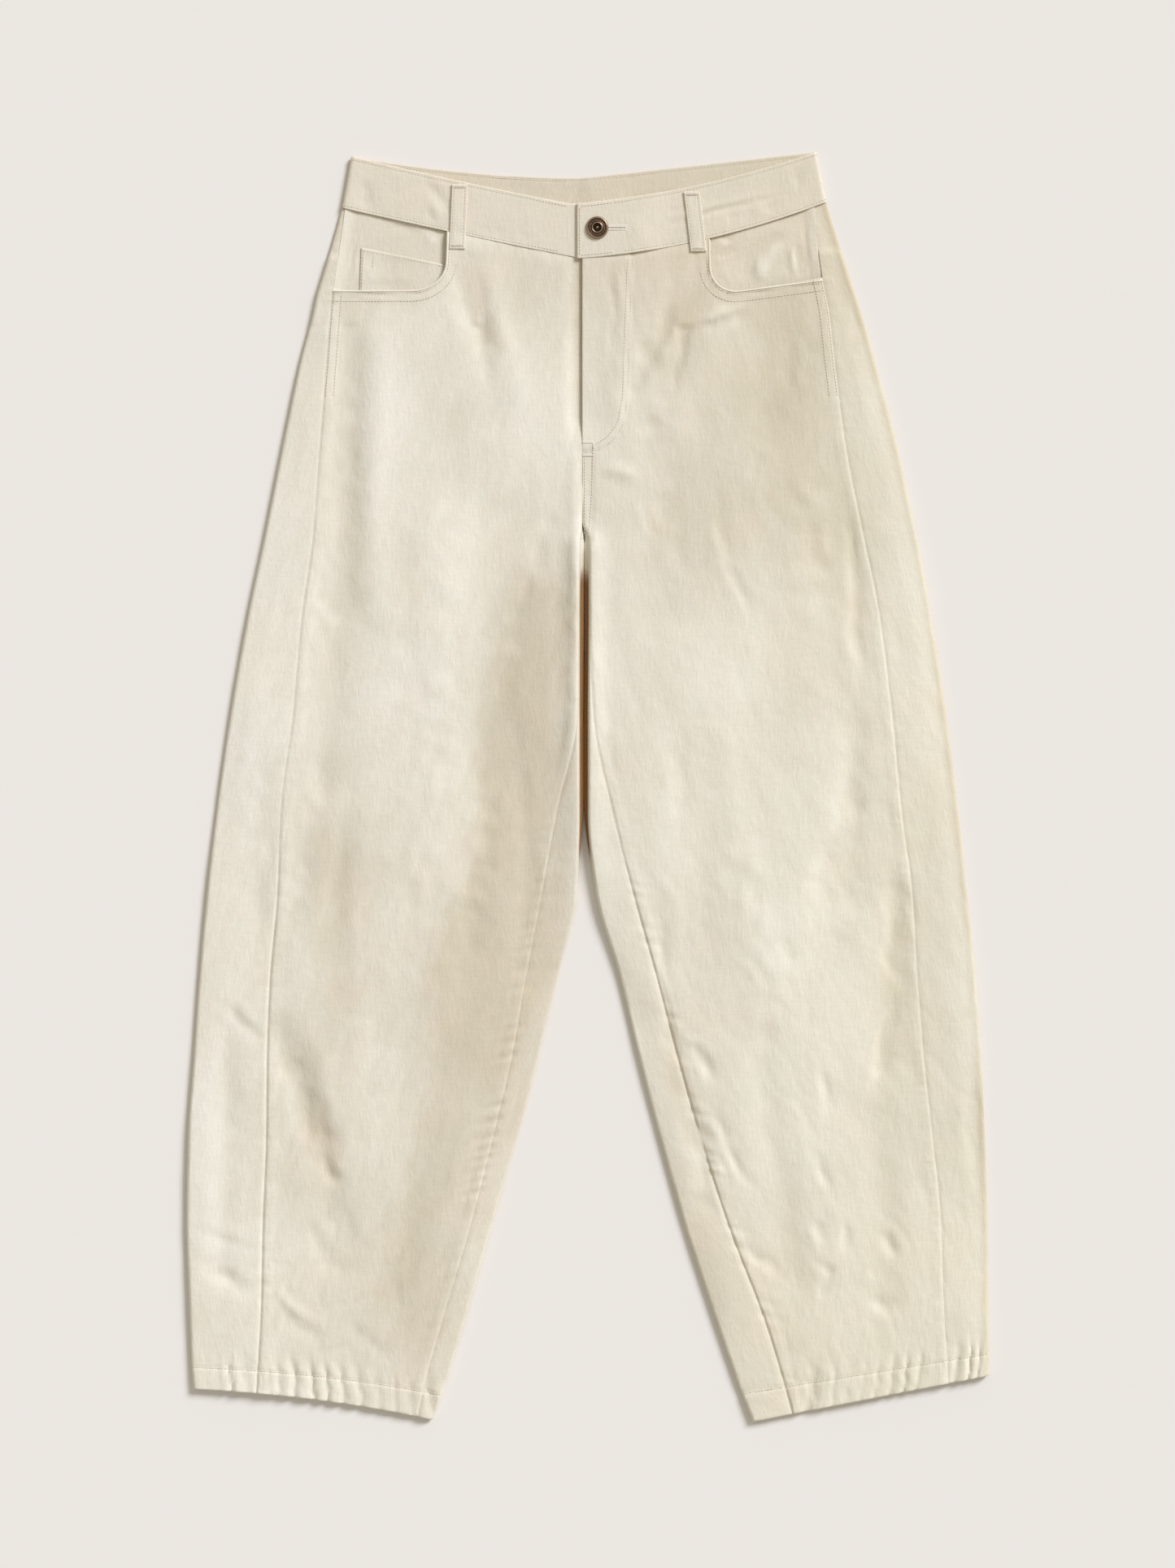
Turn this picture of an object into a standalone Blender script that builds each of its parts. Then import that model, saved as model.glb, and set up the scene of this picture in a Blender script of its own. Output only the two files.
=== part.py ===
"""Barrel leg trousers in cream cotton twill, lying flat with the front up.

Sizes are in millimetres until a mesh is made. A place on the garment is given the way a tailor
measures it: "across" is the distance from the centre front, and "down" the distance below the
highest point of the waist. Each leg is a flattened tube of cloth: flat on the surface below,
turned over a rounded fold at its outer and inner edge, and crowned and creased above.
Right and left are the wearer's.
"""

from collections import namedtuple

import bmesh
import bpy
import numpy as np

MM = 0.001

# Cloth and the gap kept between pieces that meet
CLOTH = 1.2
FACING_CLOTH = 1.0
BAND_CLOTH = 2.0
LOOP_CLOTH = 1.6
HEM_CLOTH = 2.2
HEM_DEPTH = 18.0
HEM_STEP = 1.0
GAP = 0.3

# Where the centre front and the top of the waist lie, from the middle of the whole garment
CENTRE_FRONT_X = -4.5
WAIST_TOP_Y = 498.9

# A folded edge turns over within this distance
TURN = 3.2
QUARTER_TURN = TURN * np.pi / 2
EDGE_BLEND = 20.0
LEAST_HEIGHT = 2 * CLOTH + 0.5

# Fly, crotch and pocket
FLY_UNDERLAP = 34.0
UNDERLAP_NARROWS = 140.0
UNDERLAP_ENDS = 188.0
FLY_BOTTOM = 232.0
FLY_UNDER_HEIGHT = 3.6
FLY_OVER_HEIGHT = 5.3
CROTCH_STARTS = 262.0
CROTCH_DOWN = 305.0
CROTCH_ROWS = (272.0, 285.0, 295.0, CROTCH_DOWN, 318.0)
FACING_HEIGHT = 2.5
FACING_BLEND = 10.0

# Waistband, tab and button
BAND_HEIGHT = 4.4
BAND_EDGE_HEIGHT = 5.4
UNDERLAP = 40.0
UNDERLAP_HEIGHT = 4.2
TAB_HEIGHT = 6.6
TAB_OVERHANG = 4.2
TAB_SLOPE_ENDS = 75.0
BUTTON_ACROSS = 11.8
BUTTON_DOWN = 60.0
BUTTON_RADIUS = 8.8
EYE_RADIUS = 3.6
SLIT_LENGTH = 22.0
SLIT_WIDTH = 1.0

# Each row is one line across a leg. The line starts "down" at the outer edge and reaches the
# inner edge "drop" lower (back_drop on the back panel), bowed by "bow" at its middle.
# Heights are of the top of the cloth, just inside the edges and in the middle.
STATION = "down outer side_seam inseam inner drop back_drop bow edge middle"
Station = namedtuple("Station", STATION)

RIGHT_STATIONS = (
    Station(44.2, 188.8, 186.3, 0.0, 0.0, 39.8, 17.9, 1.0, 3.8, 4.6),
    Station(60.0, 193.0, 188.5, 0.0, 0.0, 33.0, 16.5, 1.0, 3.8, 5.3),
    Station(107.4, 207.3, 195.6, 0.0, 0.0, 12.0, 12.0, 0.0, 3.8, 5.4),
    Station(109.4, 207.9, 196.0, 0.0, 0.0, 12.0, 12.0, 0.0, 5.4, 5.4),
    Station(132.0, 212.8, 198.2, 0.0, 0.0, 9.0, 9.0, 0.0, 5.3, 5.4),
    Station(167.7, 222.1, 201.0, 0.0, 0.0, 5.0, 5.0, 0.0, 5.2, 4.6),
    Station(231.7, 235.5, 206.1, 0.0, 0.0, 0.0, 0.0, 0.0, 5.2, 4.2),
    Station(296.0, 248.3, 210.9, 0.1, 0.0, 0.0, 0.0, 0.0, 5.2, 4.2),
    Station(305.3, 250.2, 211.8, 1.3, 0.8, 0.0, 0.0, 0.0, 5.2, 4.3),
    Station(366.1, 263.0, 220.2, 2.2, 1.2, 0.0, 0.0, 0.0, 5.2, 4.4),
    Station(442.9, 276.5, 227.2, 3.6, 1.4, 0.0, 0.0, 0.0, 5.2, 4.4),
    Station(519.7, 287.4, 236.8, 19.8, 1.4, 0.0, 0.0, 0.0, 5.2, 4.3),
    Station(583.7, 295.0, 239.4, 31.4, 3.8, 0.0, 0.0, 0.0, 5.3, 4.3),
    Station(647.7, 300.8, 245.1, 43.5, 19.2, 0.0, 0.0, 0.0, 5.3, 4.3),
    Station(711.7, 305.3, 247.7, 55.0, 33.9, 0.0, 0.0, 0.0, 5.3, 4.3),
    Station(775.7, 309.8, 248.3, 70.4, 51.8, 1.9, 1.9, 0.0, 5.3, 4.3),
    Station(839.7, 311.0, 250.9, 87.7, 71.0, 5.8, 5.8, -1.0, 5.4, 4.4),
    Station(903.7, 309.1, 252.2, 108.8, 91.5, 14.1, 14.1, -2.5, 5.5, 4.7),
    Station(952.2, 307.0, 254.8, 124.0, 108.5, 21.5, 21.5, -4.0, 5.8, 5.6),
    Station(972.0, 305.5, 256.0, 129.0, 117.5, 24.3, 24.3, -4.0, 6.0, 5.9),
)

LEFT_STATIONS = (
    Station(39.7, 192.0, 182.4, 0.0, 0.0, 44.3, 22.3, 7.4, 3.8, 4.6),
    Station(55.0, 196.5, 183.6, 0.0, 0.0, 35.0, 20.0, 5.0, 3.8, 5.0),
    Station(98.0, 210.3, 189.0, 0.0, 0.0, 14.0, 14.0, 1.0, 3.8, 5.1),
    Station(100.0, 210.9, 189.3, 0.0, 0.0, 13.5, 13.5, 1.0, 5.2, 5.1),
    Station(125.0, 219.0, 194.2, 0.0, 0.0, 11.0, 11.0, 0.0, 5.2, 5.0),
    Station(167.7, 231.0, 199.0, 0.0, 0.0, 7.0, 7.0, 0.0, 5.2, 4.7),
    Station(231.7, 247.7, 207.4, 0.0, 0.0, 0.0, 0.0, 0.0, 5.2, 4.3),
    Station(290.0, 260.3, 218.9, 0.1, 0.0, 0.0, 0.0, 0.0, 5.2, 4.2),
    Station(305.3, 263.7, 222.1, 5.0, 4.5, 0.0, 0.0, 0.0, 5.2, 4.3),
    Station(366.1, 274.6, 234.2, 5.8, 4.5, 0.0, 0.0, 0.0, 5.2, 4.4),
    Station(442.9, 286.1, 243.8, 9.0, 4.0, 0.0, 0.0, 0.0, 5.2, 4.4),
    Station(519.7, 295.7, 251.5, 24.3, 4.0, 0.0, 0.0, 0.0, 5.2, 4.3),
    Station(583.7, 302.7, 259.8, 40.3, 10.9, 0.0, 0.0, 0.0, 5.3, 4.3),
    Station(647.7, 309.1, 263.7, 58.2, 29.4, 0.0, 0.0, 0.0, 5.3, 4.3),
    Station(711.7, 313.6, 268.8, 74.9, 44.8, 0.0, 0.0, 0.0, 5.3, 4.3),
    Station(775.7, 316.8, 275.8, 93.4, 62.1, 1.9, 1.9, 0.0, 5.3, 4.3),
    Station(839.7, 318.7, 282.2, 115.8, 81.9, 7.7, 7.7, 0.0, 5.4, 4.4),
    Station(903.7, 319.4, 284.2, 144.0, 106.9, 19.8, 19.8, 0.0, 5.5, 4.7),
    Station(943.3, 319.9, 287.0, 159.0, 125.0, 31.5, 31.5, 0.0, 5.8, 5.6),
    Station(961.3, 320.0, 288.0, 165.1, 133.8, 36.5, 36.5, 0.0, 6.0, 5.9),
)

# The largest folds: a trough (rise below nought) or a ridge along a line on the front
Fold = namedtuple("Fold", "across_from down_from across_to down_to half_width rise")

RIGHT_FOLDS = (
    Fold(183, 125, 187, 355, 13, -1.5),
    Fold(187, 355, 202, 490, 14, -1.2),
    Fold(163, 150, 160, 360, 14, 0.8),
    Fold(60, 290, 75, 470, 26, -1.0),
    Fold(45, 470, 35, 640, 24, -1.1),
    Fold(110, 300, 120, 560, 30, 0.9),
    Fold(93, 92, 76, 150, 9, -1.2),
    Fold(70, 100, 52, 190, 12, 0.6),
    Fold(239, 690, 202, 776, 13, -1.1),
    Fold(202, 776, 194, 872, 13, -1.0),
    Fold(150, 620, 165, 800, 30, 0.8),
    Fold(280, 690, 284, 880, 10, -0.9),
    Fold(110, 720, 150, 900, 16, -0.8),
    Fold(215, 560, 225, 680, 16, 0.7),
    Fold(90, 600, 100, 700, 14, -0.6),
)

LEFT_FOLDS = (
    Fold(93, 110, 40, 186, 9, -1.1),
    Fold(80, 135, 62, 190, 7, -0.8),
    Fold(110, 130, 75, 215, 11, 0.8),
    Fold(66, 262, 60, 360, 20, -0.9),
    Fold(125, 250, 120, 420, 30, 0.8),
    Fold(150, 130, 150, 200, 18, -0.7),
    Fold(214, 455, 208, 585, 14, -1.0),
    Fold(248, 585, 236, 710, 12, -1.1),
    Fold(180, 480, 165, 640, 26, 0.8),
    Fold(95, 480, 90, 620, 24, -0.9),
    Fold(52, 680, 86, 776, 10, -0.9),
    Fold(190, 700, 200, 860, 28, 0.7),
    Fold(140, 700, 165, 880, 14, -0.9),
    Fold(230, 760, 240, 900, 14, -0.7),
    Fold(200, 620, 150, 690, 12, -0.7),
)

# The waistband's lower and upper edge on each side
BandEdge = namedtuple("BandEdge", "down outer drop bow back_drop back_bow")
BAND_LOWER = {
    -1: BandEdge(44.2, 188.8, 39.8, 1.0, 17.9, 0.0),
    1: BandEdge(39.7, 192.0, 44.3, 7.4, 22.3, 0.0),
}
BAND_UPPER = {
    -1: BandEdge(3.5, 181.5, 39.0, 1.2, 16.9, 4.0),
    1: BandEdge(0.0, 184.0, 40.5, 5.5, 20.4, 0.0),
}

# Pocket mouths: an upright edge, a rounded corner and an edge running out to the side seam
PocketMouth = namedtuple("PocketMouth", "across down corner_across corner_down side_down")
RIGHT_MOUTH = PocketMouth(106.5, 109.4, 27.0, 23.0, 109.4)
LEFT_MOUTH = PocketMouth(100.5, 110.0, 20.0, 19.0, 100.0)
FACING_UNDER = 24.0
FACING_DEPTH = 24.0
CUTTER_REACH = 250.0
CUTTER_FOOT = 2.0
CUTTER_HEIGHT = 12.0

COIN_POCKET = {"top": 75.0, "slant": 16.0, "outer": 173.5, "inner": 96.0, "bottom": 121.0}

# Belt loops: the middle of the upper and of the lower end
BeltLoop = namedtuple("BeltLoop", "across_top down_top across_bottom down_bottom")
RIGHT_LOOP = BeltLoop(96.0, 25.5, 98.2, 76.8)
LEFT_LOOP = BeltLoop(86.0, 31.5, 91.5, 78.7)
LOOP_WIDTH = 12.6
LOOP_CLEAR = 0.45


def ease(value):
    """Runs from 0 to 1 with level ends as the value does."""
    value = np.clip(value, 0.0, 1.0)
    return value * value * (3 - 2 * value)


def through(at, places, values):
    """A smooth curve through the values that never passes above or below two neighbours."""
    places = np.asarray(places, float)
    values = np.asarray(values, float)
    step = np.diff(places)
    slope = np.diff(values) / step
    product = slope[:-1] * slope[1:]
    total = np.where(product > 0, slope[:-1] + slope[1:], 1.0)
    inner = np.where(product > 0, 2 * product / total, 0.0)
    tangent = np.concatenate([slope[:1], inner, slope[-1:]])
    left = np.clip(np.searchsorted(places, at) - 1, 0, len(step) - 1)
    width = step[left]
    t = (at - places[left]) / width
    start = values[left] * (1 + 2 * t) * (1 - t) ** 2 + tangent[left] * width * t * (1 - t) ** 2
    end = values[left + 1] * t * t * (3 - 2 * t) + tangent[left + 1] * width * t * t * (t - 1)
    return start + end


def turned_in(walk):
    """How far in from a folded edge a walk of this length round the fold comes."""
    angle = np.minimum(walk / TURN, np.pi / 2)
    return TURN * (1 - np.cos(angle)) + np.maximum(walk - QUARTER_TURN, 0.0)


def walk_to(distance):
    """The walk round the fold that comes this far in from the edge."""
    angle = np.arccos(np.clip(1 - distance / TURN, 0.0, 1.0))
    return TURN * angle + np.maximum(distance - TURN, 0.0)


class Leg:
    """One leg as a flattened tube: its lines across, its heights and its folds."""

    def __init__(self, side, stations, folds, mouth, stack):
        self.side = side
        self.stack = stack
        self.folds = folds
        self.mouth = mouth
        self.stations = stations
        pocket = mouth.side_down
        top = stations[0].down + GAP / 2
        hem = stations[-1].down
        upper = np.linspace(top, pocket - 2.0, 5)
        hip = np.linspace(pocket + 16.0, CROTCH_STARTS - 8.0, 5)
        lower = np.linspace(CROTCH_ROWS[-1] + 22.0, hem - HEM_DEPTH - HEM_STEP, 21)
        last = [hem - HEM_DEPTH, hem - HEM_DEPTH / 2, hem]
        rows = np.concatenate([upper, [pocket], hip, CROTCH_ROWS, lower, last])
        self.rows = rows
        down = np.array([station.down for station in stations])
        for index, name in enumerate(Station._fields[1:], start=1):
            values = [station[index] for station in stations]
            setattr(self, name, through(rows, down, values)[:, None])
        self.down = rows[:, None]
        self.nose = ease((self.down - CROTCH_STARTS) / (CROTCH_DOWN - CROTCH_STARTS))
        self.fly = 1 - ease((self.down - FLY_BOTTOM + 25.0) / 25.0)
        within = ease((self.down - (hem - HEM_DEPTH - HEM_STEP)) / HEM_STEP)
        self.cloth = CLOTH + (HEM_CLOTH - CLOTH) * within

    def line(self, across, drop):
        """The distance down of each point on its line across."""
        along = np.minimum((self.outer - across) / (self.outer - self.inner), 1.0)
        return self.down + drop * along + self.bow * 4 * along * (1 - along)

    def crown(self, across, down, fly_over):
        """Height of the cloth on top before it turns over the folds at its edges."""
        from_outer = 1 - ease((self.outer - across) / EDGE_BLEND)
        from_inner = self.nose * (1 - ease((across - self.inner) / EDGE_BLEND))
        height = self.middle + (self.edge - self.middle) * np.maximum(from_outer, from_inner)
        for fold in self.folds:
            height = height + fold.rise * np.exp(-((fold_distance(fold, across, down)) ** 2))
        height = np.maximum(height, LEAST_HEIGHT)
        over_pocket = ease((across - self.mouth.across + FACING_UNDER + 10.0) / 8.0)
        over_pocket = over_pocket * (1 - ease((down - self.mouth.down - FACING_DEPTH) / 12.0))
        over_pocket = over_pocket * ease((down - self.stations[0].down - 30.0) / 10.0)
        height = np.maximum(height, self.stack * over_pocket)
        if fly_over:
            lap = self.fly * (1 - ease((across - FLY_UNDERLAP - 2.0) / 24.0))
            return height + (FLY_OVER_HEIGHT - height) * lap
        lap = self.fly * (1 - ease(across / 16.0))
        return height + (FLY_UNDER_HEIGHT - height) * lap

    def surface(self, across, below):
        """Points and outward directions. "below" is 1 under the leg and 0 on top."""
        lift_out = np.sin(np.arccos(np.clip(1 - (self.outer - across) / TURN, 0, 1)))
        lift_in = np.sin(np.arccos(np.clip(1 - (across - self.inner) / TURN, 0, 1)))
        lift_in = 1 - self.nose + self.nose * lift_in
        lift = lift_out * lift_in
        lean = np.sqrt(1 - lift_out**2) - self.nose * np.sqrt(1 - np.minimum(lift_in, 1) ** 2)
        drop = np.where(below > 0, self.back_drop, self.drop) + 0 * across
        down = self.line(across, drop)
        half = self.edge / 2
        top = half + (self.crown(across, down, self.side > 0) - half) * lift
        height = np.where(below > 0, half * (1 - lift), top)
        points = np.stack([self.side * across, down, height], axis=2)
        flip = np.where(below > 0, -1.0, 1.0)
        outward = np.stack([self.side * lean, 0 * lean, flip * lift], axis=2)
        outward /= np.linalg.norm(outward, axis=2, keepdims=True)
        return points, outward


def fold_distance(fold, across, down):
    """Distance from the fold's line, in half widths."""
    run = np.array([fold.across_to - fold.across_from, fold.down_to - fold.down_from], float)
    length = np.hypot(*run)
    run /= length
    along = (across - fold.across_from) * run[0] + (down - fold.down_from) * run[1]
    along = np.clip(along, 0, length)
    away_across = across - fold.across_from - along * run[0]
    away_down = down - fold.down_from - along * run[1]
    return np.hypot(away_across, away_down) / fold.half_width


def placed(points):
    """From across, down and height in millimetres to metres in the garment's frame."""
    x = points[..., 0] + CENTRE_FRONT_X
    y = WAIST_TOP_Y - points[..., 1]
    return np.stack([x, y, points[..., 2]], axis=-1) * MM


def wall(name, outer, inner, material, collection):
    """A closed wall between an outer and an inner grid of points of the same size."""
    rows, columns = outer.shape[:2]
    count = rows * columns
    index = np.arange(count).reshape(rows, columns)

    def quads(a, b, c, d):
        return np.stack([a, b, c, d], axis=-1).reshape(-1, 4)

    front = quads(index[:-1, :-1], index[:-1, 1:], index[1:, 1:], index[1:, :-1])
    back = front[:, ::-1] + count
    rim = np.concatenate([index[0], index[1:, -1], index[-1, -2::-1], index[-2:0:-1, 0]])
    after = np.roll(rim, -1)
    sides = quads(after, rim, rim + count, after + count)
    points = placed(np.concatenate([outer.reshape(-1, 3), inner.reshape(-1, 3)]))
    mesh = bpy.data.meshes.new(name)
    mesh.from_pydata(points.tolist(), [], np.concatenate([front, back, sides]).tolist())
    shell = bmesh.new()
    shell.from_mesh(mesh)
    bmesh.ops.recalc_face_normals(shell, faces=shell.faces)
    shell.to_mesh(mesh)
    shell.free()
    return add_object(name, mesh, material, collection)


def add_object(name, mesh, material, collection):
    """A smooth shaded object with sharp edges kept where faces meet at a steep angle."""
    thing = bpy.data.objects.new(name, mesh)
    if material:
        mesh.materials.append(material)
    mesh.shade_smooth()
    mesh.set_sharp_from_angle(angle=np.radians(40))
    collection.objects.link(thing)
    return thing


def new_material(name, colour, roughness, metallic=0.0):
    """A Principled material of one plain colour."""
    material = bpy.data.materials.new(name)
    material.use_nodes = True
    shader = material.node_tree.nodes["Principled BSDF"]
    shader.inputs["Base Color"].default_value = (*colour, 1.0)
    shader.inputs["Roughness"].default_value = roughness
    shader.inputs["Metallic"].default_value = metallic
    return material


def back_columns(leg):
    """Across and underside flags for a back panel, from its side seam round to its inseam."""
    seam = walk_to(leg.outer - leg.side_seam) - GAP / 2
    knee = np.minimum(QUARTER_TURN, 0.75 * seam)
    over = [seam, (seam + knee) / 2, knee, knee / 2, 0 * seam]
    under = [QUARTER_TURN / 2 + 0 * seam, QUARTER_TURN + 0 * seam]
    outer_part = leg.outer - turned_in(np.concatenate(over + under, axis=1))
    start = leg.outer - TURN
    end = leg.inner + TURN + 3.0
    flat = np.concatenate([start + (end - start) * part for part in (0.2, 0.5, 0.8)], axis=1)
    knuckle = QUARTER_TURN + 3.0
    seam = leg.nose * walk_to(leg.inseam - leg.inner)
    seam = np.where(leg.nose < 1, 0.0, seam - GAP / 2)
    knee = np.minimum(QUARTER_TURN, 0.75 * seam)
    none = 0 * seam
    bent = [knuckle + none, QUARTER_TURN + none, QUARTER_TURN / 2 + none, none, -knee / 2, -knee]
    bent = np.concatenate(bent + [-(knee + seam) / 2, -seam], axis=1)
    even = knuckle - (knuckle + seam) * np.linspace(0, 1, bent.shape[1])
    share = ease((seam - 1.0) / 4.0)
    walk = even + (bent - even) * share
    inner_part = leg.inner + turned_in(np.abs(walk))
    edge = GAP / 2 * (leg.nose < 1)
    inner_part[:, -1:] = inner_part[:, -1:] + edge
    across = np.concatenate([outer_part, flat, inner_part], axis=1)
    below = np.zeros_like(across)
    below[:, 5:-8] = 1
    below[:, -8:] = walk > 0
    below[:, -1:] = np.where(leg.nose < 1, 1, below[:, -1:])
    return across, below


def front_columns(leg):
    """Across for a front panel, from its side seam to its inseam or centre front."""
    start = leg.side_seam - GAP / 2
    seam = walk_to(np.maximum(leg.inseam - leg.inner, 0)) * (leg.nose >= 1) + GAP / 2
    inner_walks = [QUARTER_TURN * 1.5, QUARTER_TURN, QUARTER_TURN / 2, 0.0]
    ends = np.concatenate([leg.inner + turned_in(seam + walk) for walk in inner_walks], axis=1)
    ends[:, -1:] = np.where(leg.nose < 1, leg.inner + GAP / 2, ends[:, -1:])
    parts = np.linspace(0, 1, 13)[:-1]
    across = np.concatenate([start + (ends[:, :1] - start) * parts, ends], axis=1)
    if leg.side < 0:
        narrowing = (leg.down - UNDERLAP_NARROWS) / (UNDERLAP_ENDS - UNDERLAP_NARROWS)
        reach = FLY_UNDERLAP * (1 - ease(narrowing))
        share = np.minimum(reach / 5.0, 1.0)
        lapped = -reach * np.linspace(0, 1, 4)
        across[:, -4:] = ends + (lapped - ends) * share
    return across


def make_leg(leg, name, cloth, collection):
    """The back and the front panel of one leg."""
    across, below = back_columns(leg)
    points, outward = leg.surface(across, below)
    inner = points - outward * leg.cloth[:, :, None]
    wall("back_leg_" + name, points, inner, cloth, collection)
    across = front_columns(leg)
    points, outward = leg.surface(across, np.zeros_like(across))
    inner = points - outward * leg.cloth[:, :, None]
    return wall("front_leg_" + name, points, inner, cloth, collection)


def mouth_cutter(leg, name, collection):
    """A prism over the hip that leaves the pocket mouth's curved edge on the front panel."""
    mouth = leg.mouth
    angle = np.linspace(0, np.pi / 2, 9)
    corner_across = mouth.across + mouth.corner_across * (1 - np.cos(angle))
    corner_down = mouth.down - mouth.corner_down * (1 - np.sin(angle))
    reach = (mouth.side_down - mouth.down) / (leg.stations[0].side_seam - corner_across[-1])
    far_down = mouth.down + reach * (CUTTER_REACH - corner_across[-1])
    across = np.concatenate([[mouth.across - 1.0], corner_across, [CUTTER_REACH] * 2])
    down = np.concatenate([[0.0], corner_down, [far_down, 0.0]])
    bottom = placed(np.stack([leg.side * across, down, 0 * across + CUTTER_FOOT], axis=1))
    shape = bmesh.new()
    face = shape.faces.new([shape.verts.new(point) for point in bottom])
    raised = bmesh.ops.extrude_face_region(shape, geom=[face])
    moved = [item for item in raised["geom"] if isinstance(item, bmesh.types.BMVert)]
    bmesh.ops.translate(shape, verts=moved, vec=(0, 0, CUTTER_HEIGHT * MM))
    bmesh.ops.recalc_face_normals(shape, faces=shape.faces)
    mesh = bpy.data.meshes.new(name)
    shape.to_mesh(mesh)
    shape.free()
    return add_cutter(name, mesh, collection)


def add_cutter(name, mesh, collection):
    """A helper that a Boolean cuts with, left out of the part."""
    cutter = bpy.data.objects.new(name, mesh)
    cutter.display_type = "WIRE"
    cutter.hide_render = True
    collection.objects.link(cutter)
    return cutter


def cut(thing, cutter):
    """Takes the cutter away from the thing."""
    modifier = thing.modifiers.new("cut_" + cutter.name, "BOOLEAN")
    modifier.operation = "DIFFERENCE"
    modifier.solver = "EXACT"
    modifier.object = cutter


def make_facing(leg, name, cloth, collection):
    """The hip piece inside the pocket mouth, sewn to the side seam and running under the front."""
    last = leg.mouth.side_down + FACING_DEPTH
    used = leg.rows <= last
    rows = leg.down[used]
    covered = rows >= leg.mouth.side_down
    seam = leg.side_seam[used] - GAP / 2
    start = np.where(covered, seam - 3.0, seam)
    end = np.full_like(rows, leg.mouth.across - FACING_UNDER)
    steps = np.array([0.0, 0.06, 0.12, 0.3, 0.5, 0.75, 1.0])
    across = start + (end - start) * steps
    along = (leg.outer[used] - across) / leg.outer[used]
    bow = leg.bow[used] * 4 * along * (1 - along)
    down = rows + leg.drop[used] * along + bow
    from_seam = ease((seam - across) / FACING_BLEND)
    height = leg.edge[used] + (FACING_HEIGHT - leg.edge[used]) * from_seam
    height = np.where(covered, FACING_HEIGHT, height)
    outer = np.stack([leg.side * across, down, height], axis=2)
    inner = outer - [0, 0, FACING_CLOTH]
    return wall("pocket_facing_" + name, outer, inner, cloth, collection)


def make_coin_pocket(cloth, collection):
    """The small pocket on the right facing, running under the front at the mouth's edge."""
    size = COIN_POCKET
    part = np.linspace(0, 1, 6)[None, :]
    fall = np.linspace(0, 1, 4)[:, None]
    across = size["outer"] + 2.0 * fall + (size["inner"] - size["outer"] - 2.0 * fall) * part
    top = size["top"] + size["slant"] * part
    down = top + (size["bottom"] - top) * fall
    height = FACING_HEIGHT + GAP + FACING_CLOTH + 0 * across
    outer = np.stack([-across, down, height], axis=2)
    inner = outer - [0, 0, FACING_CLOTH]
    return wall("coin_pocket", outer, inner, cloth, collection)


def band_line(side, across, share, behind):
    """How far down the band's point lies, share 0 at its lower edge and 1 at its upper."""
    lower, upper = BAND_LOWER[side], BAND_UPPER[side]
    outer = lower.outer + (upper.outer - lower.outer) * share
    along = np.minimum((outer - across) / outer, 1.0)
    swell = 4 * along * (1 - along)
    if behind:
        low = lower.down + lower.back_drop * along + lower.back_bow * swell
        high = upper.down + upper.back_drop * along + upper.back_bow * swell
    else:
        low = lower.down + lower.drop * along + lower.bow * swell
        high = upper.down + upper.drop * along + upper.bow * swell
    return low - GAP / 2 + (high - low + GAP / 2) * share


def band_height(side, across):
    """Height of the band's top face: the tab lies over the underlap."""
    if side > 0:
        lap = 1 - ease((across - UNDERLAP - 3.0) / (TAB_SLOPE_ENDS - UNDERLAP - 3.0))
        return BAND_HEIGHT + (TAB_HEIGHT - BAND_HEIGHT) * lap
    return UNDERLAP_HEIGHT + (BAND_HEIGHT - UNDERLAP_HEIGHT) * ease((across - 8.0) / 14.0)


def band_stretch(side, across, share, behind):
    """Points and outward directions of one stretch of the band, front or back, at one side."""
    lower, upper = BAND_LOWER[side], BAND_UPPER[side]
    outer = lower.outer + (upper.outer - lower.outer) * share
    inset = across[None, :] * np.ones_like(share)
    place = outer - inset
    lift = np.sin(np.arccos(np.clip(1 - inset / TURN, 0, 1)))
    lean = np.sqrt(1 - lift**2)
    half = BAND_EDGE_HEIGHT / 2
    down = band_line(side, place, share, behind)
    if behind:
        height = half * (1 - lift)
    else:
        near = 1 - ease(inset / EDGE_BLEND)
        flat = band_height(side, place)
        height = half + (flat + (BAND_EDGE_HEIGHT - flat) * near - half) * lift
    points = np.stack([side * place, down, height], axis=2)
    outward = np.stack([side * lean, 0 * lean, (-1 if behind else 1) * lift], axis=2)
    return points, outward / np.linalg.norm(outward, axis=2, keepdims=True)


def flat_stretch(across, share, height):
    """Points and upward directions of an end of the band that lies level, on the left side."""
    across = across[None, :] * np.ones_like(share)
    down = band_line(1, across, share, False)
    points = np.stack([across, down, height + 0 * across], axis=2)
    upward = np.zeros_like(points)
    upward[..., 2] = 1.0
    return points, upward


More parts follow.
